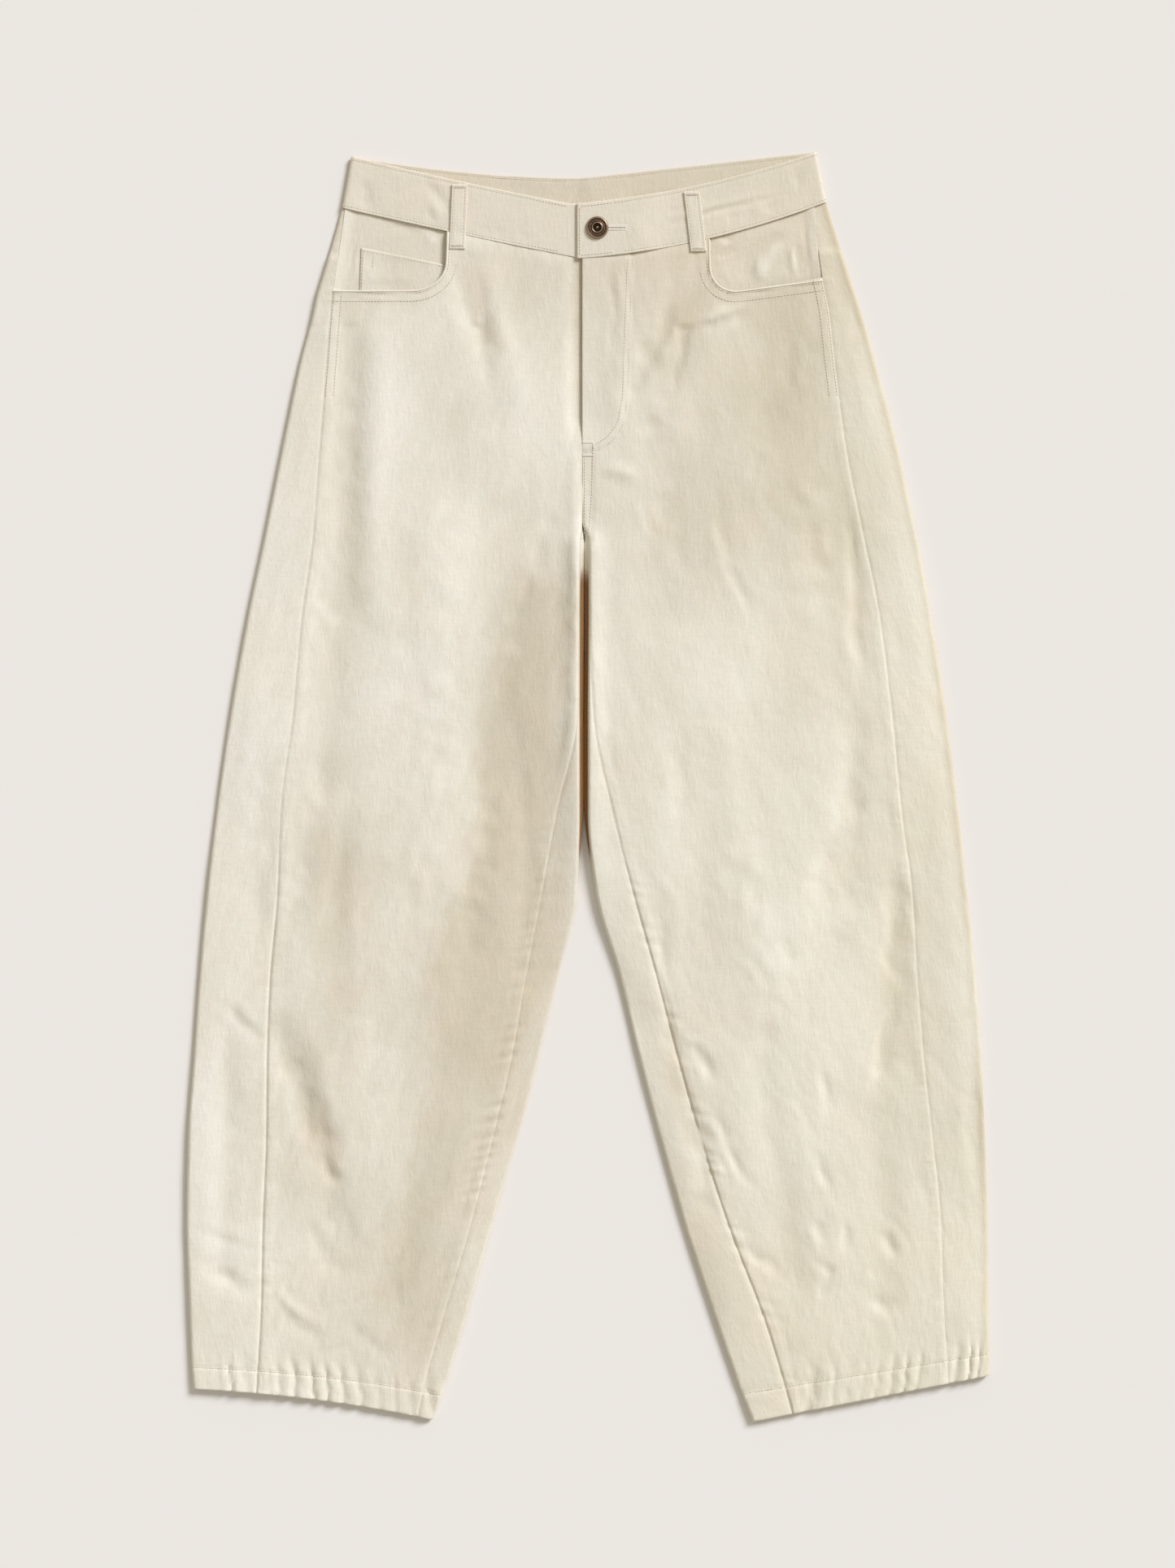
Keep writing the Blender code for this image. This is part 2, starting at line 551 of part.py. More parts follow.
def make_waistband(cloth, collection):
    """One doubled strip: underlap, right front, back, left front and tab."""
    share = np.linspace(0, 1, 5)[:, None]
    round_fold = turned_in(QUARTER_TURN * np.array([0.5, 1.0]))
    insets = np.concatenate([[0.0], round_fold, [12.0, 24.0, 60.0, 95.0, 130.0]])
    back_insets = np.concatenate([[0.0], round_fold, [60.0, 120.0]])
    right_insets = np.concatenate([insets, [165.0, 176.0]])[::-1]
    left_insets = np.concatenate([insets, [150.0, 160.0]])
    parts = [
        flat_stretch(np.array([UNDERLAP, 24.0, 12.0, 0.0]), share, UNDERLAP_HEIGHT),
        band_stretch(-1, right_insets, share, False),
        band_stretch(-1, back_insets[1:], share, True),
        band_stretch(1, back_insets[:0:-1], share, True),
        band_stretch(1, left_insets, share, False),
        flat_stretch(np.array([18.0, 7.0, -TAB_OVERHANG]), share, TAB_HEIGHT),
    ]
    outer = np.concatenate([points for points, _ in parts], axis=1)
    outward = np.concatenate([lean for _, lean in parts], axis=1)
    inner = outer - outward * BAND_CLOTH
    return wall("waistband", outer, inner, cloth, collection)


def make_buttonhole(band, collection):
    """Cuts the keyhole: a round eye for the button's post and a slit running on from it."""
    x, y, z = placed(np.array([BUTTON_ACROSS, BUTTON_DOWN, TAB_HEIGHT - BAND_CLOTH / 2]))
    deep = BAND_CLOTH + 0.5
    eye = bmesh.new()
    bmesh.ops.create_cone(
        eye,
        cap_ends=True,
        segments=24,
        radius1=EYE_RADIUS * MM,
        radius2=EYE_RADIUS * MM,
        depth=deep * MM,
    )
    bmesh.ops.translate(eye, verts=eye.verts, vec=(x, y, z))
    eye_mesh = bpy.data.meshes.new("buttonhole_eye")
    eye.to_mesh(eye_mesh)
    eye.free()
    slit = bmesh.new()
    bmesh.ops.create_cube(slit, size=1.0)
    bmesh.ops.scale(slit, verts=slit.verts, vec=(SLIT_LENGTH * MM, SLIT_WIDTH * MM, deep * MM))
    bmesh.ops.translate(slit, verts=slit.verts, vec=(x + SLIT_LENGTH / 2 * MM, y, z))
    slit_mesh = bpy.data.meshes.new("buttonhole_slit")
    slit.to_mesh(slit_mesh)
    slit.free()
    cut(band, add_cutter("buttonhole_eye", eye_mesh, collection))
    cut(band, add_cutter("buttonhole_slit", slit_mesh, collection))


def make_loop(name, side, loop, leg, cloth, collection):
    """A belt loop from the band's upper edge to just under it, made from the points below it."""
    part = np.linspace(0, 1, 8)[:, None]
    across = loop.across_top + (loop.across_bottom - loop.across_top) * part
    across = across + np.array([-0.5, 0.0, 0.5])[None, :] * LOOP_WIDTH
    down = loop.down_top + (loop.down_bottom - loop.down_top) * part + 0 * across
    seam_down = band_line(side, across, 0.0, False)
    near_seam = ease((down - seam_down + 3.0) / 12.0)
    panel = leg.middle[0] + (leg.middle[1] - leg.middle[0]) * near_seam
    below = np.maximum(band_height(side, across), panel)
    height = below + LOOP_CLEAR + LOOP_CLOTH
    outer = np.stack([side * across, down, height], axis=2)
    inner = outer - [0, 0, LOOP_CLOTH]
    return wall(name, outer, inner, cloth, collection)


def make_button(metal, collection):
    """A turned tack button: post through the eye, broad cap with a hollow and a nub."""
    post_foot = UNDERLAP_HEIGHT + GAP
    rest = TAB_HEIGHT + GAP
    profile = (
        (0.0, rest + 1.5),
        (1.3, rest + 1.4),
        (1.9, rest + 0.8),
        (2.9, rest + 0.8),
        (3.3, rest + 2.0),
        (4.6, rest + 2.4),
        (6.8, rest + 2.1),
        (8.3, rest + 1.3),
        (BUTTON_RADIUS, rest + 0.5),
        (8.5, rest),
        (2.6, rest),
        (2.6, post_foot),
        (0.0, post_foot),
    )
    points = [(radius * MM, 0.0, height * MM) for radius, height in profile]
    mesh = bpy.data.meshes.new("button")
    mesh.from_pydata(points, [(i, i + 1) for i in range(len(points) - 1)], [])
    button = add_object("button", mesh, metal, collection)
    x, y, _ = placed(np.array([BUTTON_ACROSS, BUTTON_DOWN, 0.0]))
    button.location = (x, y, 0.0)
    turn = button.modifiers.new("turn", "SCREW")
    turn.steps = 24
    turn.render_steps = 24
    turn.use_merge_vertices = True
    turn.merge_threshold = 0.00002
    return button


def main():
    for thing in list(bpy.data.objects):
        bpy.data.objects.remove(thing, do_unlink=True)
    trousers = bpy.data.collections.new("barrel_leg_trousers")
    cutters = bpy.data.collections.new("cutters")
    bpy.context.scene.collection.children.link(trousers)
    bpy.context.scene.collection.children.link(cutters)
    cutters.hide_render = True

    twill = new_material("cream_twill", (0.80, 0.76, 0.67), 0.85)
    bronze = new_material("aged_bronze", (0.16, 0.11, 0.07), 0.40, 1.0)

    left_stack = FACING_HEIGHT + GAP + CLOTH
    right_stack = left_stack + FACING_CLOTH + GAP
    right = Leg(-1, RIGHT_STATIONS, RIGHT_FOLDS, RIGHT_MOUTH, right_stack)
    left = Leg(1, LEFT_STATIONS, LEFT_FOLDS, LEFT_MOUTH, left_stack)
    for leg, name in ((right, "right"), (left, "left")):
        front = make_leg(leg, name, twill, trousers)
        cut(front, mouth_cutter(leg, "pocket_mouth_" + name, cutters))
        make_facing(leg, name, twill, trousers)
    make_coin_pocket(twill, trousers)
    band = make_waistband(twill, trousers)
    make_buttonhole(band, cutters)
    make_loop("belt_loop_right", -1, RIGHT_LOOP, right, twill, trousers)
    make_loop("belt_loop_left", 1, LEFT_LOOP, left, twill, trousers)
    make_button(bronze, trousers)


main()
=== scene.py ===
from collections import namedtuple

import bmesh
import bpy
import numpy as np
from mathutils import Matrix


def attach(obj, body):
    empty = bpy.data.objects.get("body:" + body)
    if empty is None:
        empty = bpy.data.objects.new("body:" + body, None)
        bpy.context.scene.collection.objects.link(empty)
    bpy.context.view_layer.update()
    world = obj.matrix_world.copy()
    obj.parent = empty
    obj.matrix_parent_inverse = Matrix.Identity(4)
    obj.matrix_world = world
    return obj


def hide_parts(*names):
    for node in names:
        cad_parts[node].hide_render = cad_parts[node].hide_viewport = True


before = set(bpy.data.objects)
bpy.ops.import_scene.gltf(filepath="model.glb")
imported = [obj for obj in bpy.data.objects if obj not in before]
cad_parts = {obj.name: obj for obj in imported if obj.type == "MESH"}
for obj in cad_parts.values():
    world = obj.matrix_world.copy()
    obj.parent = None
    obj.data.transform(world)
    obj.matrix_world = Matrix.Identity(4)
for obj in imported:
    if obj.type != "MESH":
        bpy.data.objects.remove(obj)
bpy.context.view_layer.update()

# Legs: a front and a back panel of cream cotton twill each, wide at the knee and narrow at the
# hem, sewn along the side and the inside leg. Laid flat, the back panel comes round both folded
# edges on to the top. Places are in millimetres: across from the centre front, down from the waist.
MM = 0.001
CLOTH = 1.2
HEM_CLOTH = 2.2
HEM_DEPTH = 18.0
SEAM_GAP = 0.06
CENTRE_FRONT_X = -4.5
WAIST_TOP_Y = 498.9

TURN = 3.2
QUARTER_TURN = TURN * np.pi / 2
EDGE_BLEND = 20.0
LEAST_HEIGHT = 2.95

FLY_UNDERLAP = 34.0
UNDERLAP_NARROWS = 140.0
UNDERLAP_ENDS = 188.0
FLY_BOTTOM = 232.0
FLY_UNDER_HEIGHT = 3.2
FLY_OVER_HEIGHT = 6.0
CROTCH_STARTS = 262.0
CROTCH_DOWN = 305.0
POCKET_UNDER = 24.0
POCKET_DEPTH = 24.0

Station = namedtuple("Station", "down outer side_seam inseam inner drop back_drop bow edge middle")

RIGHT_STATIONS = [Station(*row) for row in (
    (44.2, 188.8, 186.3, 0.0, 0.0, 39.8, 17.9, 1.0, 3.8, 4.6),
    (60.0, 193.0, 188.5, 0.0, 0.0, 33.0, 16.5, 1.0, 3.8, 5.3),
    (107.4, 207.3, 195.6, 0.0, 0.0, 12.0, 12.0, 0.0, 3.8, 5.4),
    (109.4, 207.9, 196.0, 0.0, 0.0, 12.0, 12.0, 0.0, 5.4, 5.4),
    (132.0, 212.8, 198.2, 0.0, 0.0, 9.0, 9.0, 0.0, 5.3, 5.4),
    (167.7, 222.1, 201.0, 0.0, 0.0, 5.0, 5.0, 0.0, 5.2, 4.6),
    (231.7, 235.5, 206.1, 0.0, 0.0, 0.0, 0.0, 0.0, 5.2, 4.2),
    (296.0, 248.3, 210.9, 0.1, 0.0, 0.0, 0.0, 0.0, 5.2, 4.2),
    (305.3, 250.2, 211.8, 1.3, 0.8, 0.0, 0.0, 0.0, 5.2, 4.3),
    (366.1, 263.0, 220.2, 2.2, 1.2, 0.0, 0.0, 0.0, 5.2, 4.4),
    (442.9, 276.5, 227.2, 3.6, 1.4, 0.0, 0.0, 0.0, 5.2, 4.4),
    (519.7, 287.4, 236.8, 19.8, 1.4, 0.0, 0.0, 0.0, 5.2, 4.3),
    (583.7, 295.0, 239.4, 31.4, 3.8, 0.0, 0.0, 0.0, 5.3, 4.3),
    (647.7, 300.8, 245.1, 43.5, 19.2, 0.0, 0.0, 0.0, 5.3, 4.3),
    (711.7, 305.3, 247.7, 55.0, 33.9, 0.0, 0.0, 0.0, 5.3, 4.3),
    (775.7, 309.8, 248.3, 70.4, 51.8, 1.9, 1.9, 0.0, 5.3, 4.3),
    (839.7, 311.0, 250.9, 87.7, 71.0, 5.8, 5.8, -1.0, 5.4, 4.4),
    (903.7, 309.1, 252.2, 108.8, 91.5, 14.1, 14.1, -2.5, 5.5, 4.7),
    (952.2, 307.0, 254.8, 124.0, 108.5, 21.5, 21.5, -4.0, 5.8, 5.6),
    (972.0, 305.5, 256.0, 129.0, 117.5, 24.3, 24.3, -4.0, 6.0, 5.9),
)]

LEFT_STATIONS = [Station(*row) for row in (
    (39.7, 192.0, 182.4, 0.0, 0.0, 44.3, 22.3, 7.4, 3.8, 4.6),
    (55.0, 196.5, 183.6, 0.0, 0.0, 35.0, 20.0, 5.0, 3.8, 5.0),
    (98.0, 210.3, 189.0, 0.0, 0.0, 14.0, 14.0, 1.0, 3.8, 5.1),
    (100.0, 210.9, 189.3, 0.0, 0.0, 13.5, 13.5, 1.0, 5.2, 5.1),
    (125.0, 219.0, 194.2, 0.0, 0.0, 11.0, 11.0, 0.0, 5.2, 5.0),
    (167.7, 231.0, 199.0, 0.0, 0.0, 7.0, 7.0, 0.0, 5.2, 4.7),
    (231.7, 247.7, 207.4, 0.0, 0.0, 0.0, 0.0, 0.0, 5.2, 4.3),
    (290.0, 260.3, 218.9, 0.1, 0.0, 0.0, 0.0, 0.0, 5.2, 4.2),
    (305.3, 263.7, 222.1, 5.0, 4.5, 0.0, 0.0, 0.0, 5.2, 4.3),
    (366.1, 274.6, 234.2, 5.8, 4.5, 0.0, 0.0, 0.0, 5.2, 4.4),
    (442.9, 286.1, 243.8, 9.0, 4.0, 0.0, 0.0, 0.0, 5.2, 4.4),
    (519.7, 295.7, 251.5, 24.3, 4.0, 0.0, 0.0, 0.0, 5.2, 4.3),
    (583.7, 302.7, 259.8, 40.3, 10.9, 0.0, 0.0, 0.0, 5.3, 4.3),
    (647.7, 309.1, 263.7, 58.2, 29.4, 0.0, 0.0, 0.0, 5.3, 4.3),
    (711.7, 313.6, 268.8, 74.9, 44.8, 0.0, 0.0, 0.0, 5.3, 4.3),
    (775.7, 316.8, 275.8, 93.4, 62.1, 1.9, 1.9, 0.0, 5.3, 4.3),
    (839.7, 318.7, 282.2, 115.8, 81.9, 7.7, 7.7, 0.0, 5.4, 4.4),
    (903.7, 319.4, 284.2, 144.0, 106.9, 19.8, 19.8, 0.0, 5.5, 4.7),
    (943.3, 319.9, 287.0, 159.0, 125.0, 31.5, 31.5, 0.0, 5.8, 5.6),
    (961.3, 320.0, 288.0, 165.1, 133.8, 36.5, 36.5, 0.0, 6.0, 5.9),
)]

# Large folds, as the solids have them, then the finer creases that the photograph shows
Fold = namedtuple("Fold", "across_from down_from across_to down_to half_width rise")

RIGHT_FOLDS = [Fold(*row) for row in (
    (183, 125, 187, 355, 13, -1.5),
    (187, 355, 202, 490, 14, -1.2),
    (163, 150, 160, 360, 14, 0.8),
    (60, 290, 75, 470, 26, -1.0),
    (45, 470, 35, 640, 24, -1.1),
    (110, 300, 120, 560, 30, 0.9),
    (93, 92, 76, 150, 9, -1.2),
    (70, 100, 52, 190, 12, 0.6),
    (239, 690, 202, 776, 13, -1.1),
    (202, 776, 194, 872, 13, -1.0),
    (150, 620, 165, 800, 30, 0.8),
    (280, 690, 284, 880, 10, -0.9),
    (110, 720, 150, 900, 16, -0.8),
    (215, 560, 225, 680, 16, 0.7),
    (90, 600, 100, 700, 14, -0.6),
)]

LEFT_FOLDS = [Fold(*row) for row in (
    (93, 110, 40, 186, 9, -1.1),
    (80, 135, 62, 190, 7, -0.8),
    (110, 130, 75, 215, 11, 0.8),
    (66, 262, 60, 360, 20, -0.9),
    (125, 250, 120, 420, 30, 0.8),
    (150, 130, 150, 200, 18, -0.7),
    (214, 455, 208, 585, 14, -1.0),
    (248, 585, 236, 710, 12, -1.1),
    (180, 480, 165, 640, 26, 0.8),
    (95, 480, 90, 620, 24, -0.9),
    (52, 680, 86, 776, 10, -0.9),
    (190, 700, 200, 860, 28, 0.7),
    (140, 700, 165, 880, 14, -0.9),
    (230, 760, 240, 900, 14, -0.7),
    (200, 620, 150, 690, 12, -0.7),
)]

Crease = namedtuple("Crease", "half_width rise path")

RIGHT_CREASES = [Crease(*row) for row in (
    (11, -1.7, ((176, 118), (180, 200), (188, 270), (197, 330), (205, 400), (208, 470))),
    (9, -1.6, ((209, 450), (206, 495), (216, 545), (224, 600), (229, 635))),
    (8, -1.7, ((20, 256), (28, 300), (42, 345), (62, 405))),
    (13, -1.9, ((42, 345), (64, 410), (70, 460), (76, 520), (84, 580), (86, 630), (80, 680), (72, 705))),
    (7, -1.3, ((58, 420), (54, 470), (46, 530), (44, 570), (50, 610), (47, 650))),
    (6, 1.0, ((4, 255), (5, 330), (7, 440), (20, 520))),
    (26, 1.1, ((125, 200), (118, 330), (112, 460), (116, 600), (130, 760))),
    (9, -1.1, ((250, 455), (251, 540), (256, 620), (262, 675))),
    (5, -1.3, ((284, 664), (268, 686), (250, 700))),
    (13, -2.4, ((240, 688), (226, 712), (218, 745), (213, 785), (207, 804))),
    (6, -1.9, ((212, 785), (198, 806), (184, 812))),
    (7, 1.2, ((208, 700), (201, 750), (192, 780), (174, 800))),
    (8, -1.0, ((186, 520), (192, 570), (194, 620), (190, 690))),
    (7, -1.0, ((216, 835), (210, 862), (200, 880))),
    (8, -0.9, ((190, 820), (182, 870))),
    (10, -0.8, ((280, 700), (276, 760), (278, 800))),
    (4, -0.8, ((304, 842), (280, 856), (258, 868))),
    (4, -0.8, ((312, 862), (285, 880), (262, 893), (236, 893))),
    (3.5, -0.7, ((290, 876), (264, 896))),
    (6, -1.3, ((242, 902), (222, 922), (200, 936))),
    (4, 0.8, ((248, 888), (226, 908), (205, 922))),
    (5, -0.6, ((190, 918), (168, 936), (148, 950))),
    (4, -0.5, ((150, 880), (140, 915))),
    (7, -1.1, ((92, 92), (82, 140), (73, 185), (70, 205))),
    (5, 0.7, ((70, 110), (62, 140), (52, 176))),
    (7, -0.5, ((60, 205), (78, 228))),
    (5, -0.5, ((44, 240), (42, 300))),
    (8, 0.7, ((104, 96), (98, 170))),
)]

LEFT_CREASES = [Crease(*row) for row in (
    (7, -1.5, ((86, 102), (68, 124), (56, 150), (46, 172), (42, 196))),
    (5, -1.2, ((88, 108), (84, 135), (77, 160), (70, 186), (66, 204))),
    (4.5, 1.1, ((76, 122), (66, 150), (58, 176))),
    (4, 1.2, ((130, 117), (104, 130), (90, 140))),
    (5, -1.1, ((134, 124), (110, 137), (94, 150))),
    (12, -0.9, ((176, 128), (166, 165), (158, 200))),
    (10, -0.6, ((205, 125), (208, 165))),
    (3.5, -0.6, ((22, 86), (24, 130), (23, 170))),
    (3, 0.5, ((30, 86), (30, 150))),
    (3, -0.5, ((12, 120), (12, 200))),
    (6, -0.8, ((42, 222), (62, 208))),
    (5, 0.8, ((12, 247), (30, 252), (46, 262))),
    (8, -1.0, ((60, 262), (64, 295))),
    (3, -0.7, ((44, 262), (58, 305))),
    (6, -0.6, ((72, 298), (80, 335))),
    (3.5, -0.7, ((100, 252), (110, 300), (126, 345), (138, 392))),
    (4, -0.7, ((140, 232), (134, 262))),
    (24, 1.0, ((172, 215), (180, 300), (178, 420))),
    (5, -1.1, ((203, 255), (212, 300), (215, 345), (216, 385), (222, 440))),
    (9, -1.1, ((214, 440), (214, 500), (210, 560))),
    (8, -1.0, ((204, 530), (186, 575), (192, 612))),
    (8, -0.8, ((150, 616), (172, 640))),
    (4, -1.3, ((238, 555), (245, 595), (242, 635), (253, 662))),
    (5, -1.7, ((252, 655), (240, 688), (234, 712), (228, 745))),
    (6, -0.8, ((72, 450), (78, 505), (74, 550))),
    (6, -0.9, ((58, 560), (62, 620), (70, 662))),
    (6, -1.5, ((60, 650), (68, 690), (84, 735))),
    (7, -1.7, ((74, 716), (90, 775), (98, 820), (116, 862))),
    (4, -1.3, ((84, 690), (96, 712), (102, 735))),
    (4, 0.9, ((76, 694), (92, 700), (104, 716))),
    (3.5, -1.0, ((92, 745), (104, 760), (122, 795), (142, 822))),
    (3.5, -0.7, ((100, 790), (118, 800))),
    (3.5, -0.9, ((186, 716), (190, 740), (199, 762))),
    (4, -0.7, ((178, 778), (200, 832))),
    (4, -1.1, ((184, 838), (193, 862))),
    (4, -1.1, ((128, 866), (146, 874), (160, 888))),
    (3.5, -1.0, ((180, 868), (192, 880), (186, 902))),
    (4, -1.2, ((238, 850), (250, 872))),
    (3.5, -0.7, ((204, 838), (212, 870))),
    (5, -0.8, ((222, 895), (252, 914))),
    (6, -0.9, ((304, 715), (309, 820))),
    (18, 0.9, ((120, 500), (132, 600), (150, 700))),
)]

# The topstitched curve of the fly, from the waist to the centre front
FLY_OUTER_ACROSS = (39.7, 38.4, 36.7, 35.8, 32.0, 22.5, 9.0, 0.0)
FLY_OUTER_DOWN = (84.0, 113.0, 160.0, 193.0, 216.0, 229.0, 236.0, 238.0)

# Broad patches of painted shade, and a few with a positive rise of painted light: the rise is added to the
# cloth's painted shade and wear value from 0 to 1
RIGHT_PAINTED_SHADING = [Fold(*row) for row in (
    (26, 360, 76, 660, 38, -0.42),
    (80, 640, 125, 900, 50, -0.46),
    (195, 560, 208, 800, 30, -0.36),
    (150, 470, 160, 560, 40, -0.1),
    (180, 60, 60, 110, 50, -0.14),
    (250, 200, 290, 880, 24, 0.12),
)]
LEFT_PAINTED_SHADING = [Fold(*row) for row in (
    (60, 100, 110, 270, 66, -0.32),
    (170, 120, 190, 300, 46, -0.26),
    (40, 300, 50, 420, 30, -0.12),
    (30, 480, 100, 900, 26, -0.2),
    (150, 480, 190, 900, 40, 0.1),
)]


def ease(value):
    """Runs from 0 to 1 with level ends as the value does: v squared times (3 - 2 v)."""
    value = np.clip(value, 0.0, 1.0)
    return value * value * (3 - 2 * value)


def bell(away):
    """1 at nought and less on both sides: e to the power of minus the square."""
    return np.exp(-(away**2))


def through(at, places, values):
    """A smooth curve through the values: cubic pieces whose slope where two meet is the harmonic
    mean of the slopes on both sides, or nought at a peak, so that it never overshoots."""
    step = np.diff(places)
    slope = np.diff(values) / step
    product = slope[:-1] * slope[1:]
    total = np.where(product > 0, slope[:-1] + slope[1:], 1.0)
    inner = np.where(product > 0, 2 * product / total, 0.0)
    tangent = np.concatenate([slope[:1], inner, slope[-1:]])
    left = np.clip(np.searchsorted(places, at) - 1, 0, len(step) - 1)
    width = step[left]
    t = (at - places[left]) / width
    start = values[left] * (1 + 2 * t) * (1 - t) ** 2 + tangent[left] * width * t * (1 - t) ** 2
    end = values[left + 1] * t * t * (3 - 2 * t) + tangent[left + 1] * width * t * t * (t - 1)
    return start + end


def turned_in(walk):
    """How far in from a folded edge a walk round it comes: a quarter circle, then straight on."""
    angle = np.minimum(walk / TURN, np.pi / 2)
    return TURN * (1 - np.cos(angle)) + np.maximum(walk - QUARTER_TURN, 0.0)


def walk_to(distance):
    """The walk round the fold that comes this far in from the edge, the reverse of turned_in."""
    angle = np.arccos(np.clip(1 - distance / TURN, 0.0, 1.0))
    return TURN * angle + np.maximum(distance - TURN, 0.0)


def rounded(distance, radius):
    """How thick cloth is near a turned edge: a quarter circle that is full at the radius."""
    part = np.clip(distance / radius, 0.0, 1.0)
    return np.sqrt(np.maximum(1 - (1 - part) ** 2, 0.02))


def two_faces(points, outward, cloth, turned):
    """Outer and inner face of a layer under the points of its upper face: the whole thickness
    apart where "turned" is 1, and together in its middle at an edge."""
    outer = points - outward * (cloth / 2 * (1 - turned))[..., None]
    return outer, points - outward * (cloth / 2 * (1 + turned))[..., None]


def wander(u, v, seed):
    """An uneven swell from -1 to 1: random values on a lattice of whole u and v, eased between
    the four nearest."""
    lattice = np.random.default_rng(seed).uniform(-1, 1, (97, 97))
    low_u = np.floor(u).astype(int)
    low_v = np.floor(v).astype(int)
    part_u = ease(u - low_u)
    part_v = ease(v - low_v)
    near = lattice[low_u % 97, low_v % 97] * (1 - part_u) + lattice[(low_u + 1) % 97, low_v % 97] * part_u
    upper = lattice[low_u % 97, (low_v + 1) % 97] * (1 - part_u)
    far = upper + lattice[(low_u + 1) % 97, (low_v + 1) % 97] * part_u
    return near * (1 - part_v) + far * part_v


def pucker(along, pitch, seed):
    """Gathers along a seam: narrow dips a pitch apart, between rounder swells, whose spacing and
    strength wander."""
    phase = along / pitch + 0.9 * wander(along / (1.9 * pitch), 0 * along, seed)
    strength = np.maximum(0.55 + 0.8 * wander(along / (1.7 * pitch), 0 * along + 5, seed + 1), 0.05)
    wave = np.cos(2 * np.pi * phase)
    return strength * (0.35 * wave - 0.9 * np.maximum(-wave, 0.0) ** 3 + 0.2)


def fold_distance(fold, across, down):
    """Distance from the fold's straight line, in half widths."""
    ends = (fold.across_from, fold.down_from), (fold.across_to, fold.down_to)
    return path_distance(ends, across, down) / fold.half_width


def path_nearest(path, across, down):
    """Signed distance from the nearest stretch of a path of places, and how far along the whole
    path that is, from 0 to 1."""
    path = np.asarray(path, float)
    lengths = np.hypot(*np.diff(path, axis=0).T)
    nearest = np.full(np.broadcast(across, down).shape, 1e9)
    share = np.zeros(nearest.shape)
    passed = 0.0
    for start, end, length in zip(path[:-1], path[1:], lengths):
        run = (end - start) / length
        along = np.clip((across - start[0]) * run[0] + (down - start[1]) * run[1], 0, length)
        away_across = across - start[0] - along * run[0]
        away_down = down - start[1] - along * run[1]
        away = np.hypot(away_across, away_down)
        side = np.sign(run[0] * away_down - run[1] * away_across + 1e-9)
        closer = away < np.abs(nearest)
        nearest = np.where(closer, away * side, nearest)
        share = np.where(closer, (passed + along) / lengths.sum(), share)
        passed += length
    return nearest, share


def path_distance(path, across, down):
    """Distance from a path of places, in millimetres."""
    return np.abs(path_nearest(path, across, down)[0])


def creased(creases, across, down):
    """Rise of all creases: each a trough or ridge that tapers to nothing at both ends, with the
    cloth that it takes up standing as a low lip along one side, on wavering lines."""
    bent_across = across + 3.0 * wander(across / 17.0, down / 21.0, 301)
    bent_across = bent_across + wander(across / 6.0, down / 8.0, 303)
    bent_down = down + 3.0 * wander(across / 19.0 + 30, down / 23.0, 302)
    uneven = 0.85 + 0.45 * wander(across / 9.0, down / 12.0, 304)
    rise = np.zeros(np.broadcast(across, down).shape)
    for crease in creases:
        away, share = path_nearest(crease.path, bent_across, bent_down)
        away = away / crease.half_width
        taper = ease(share / 0.42 + 0.05) * ease((1 - share) / 0.42 + 0.05)
        profile = 0.8 * bell(away) + 0.2 * bell(away / 2.3)
        profile = profile - 0.3 * bell(away - 1.8)
        rise = rise + crease.rise * taper * profile * uneven
    return rise


def crumple(across, down, seed):
    """Short crisp wrinkles: narrow valleys where a swell changes sign."""
    swell = wander(across, down, seed)
    return -bell(swell / 0.16)


def placed(points):
    """From across, down and height in millimetres to metres in the garment's frame."""
    x = points[..., 0] + CENTRE_FRONT_X
    y = WAIST_TOP_Y - points[..., 1]
    return np.stack([x, y, points[..., 2]], axis=-1) * MM


PocketMouth = namedtuple("PocketMouth", "across down corner_across corner_down side_down")
RIGHT_MOUTH = PocketMouth(106.5, 109.4, 27.0, 23.0, 109.4)
LEFT_MOUTH = PocketMouth(100.5, 110.0, 20.0, 19.0, 100.0)


def mouth_path(mouth, top, side):
    """Places along a pocket mouth: down an upright edge, round a quarter of an ellipse, and
    straight out to the side seam."""
    angle = np.linspace(0, np.pi / 2, 25)
    corner_across = mouth.across + mouth.corner_across * (1 - np.cos(angle))
    corner_down = mouth.down - mouth.corner_down * (1 - np.sin(angle))
    across = np.concatenate([[mouth.across - 1.0], corner_across, [side]])
    down = np.concatenate([[top], corner_down, [mouth.side_down]])
    return np.stack([across, down], axis=1)


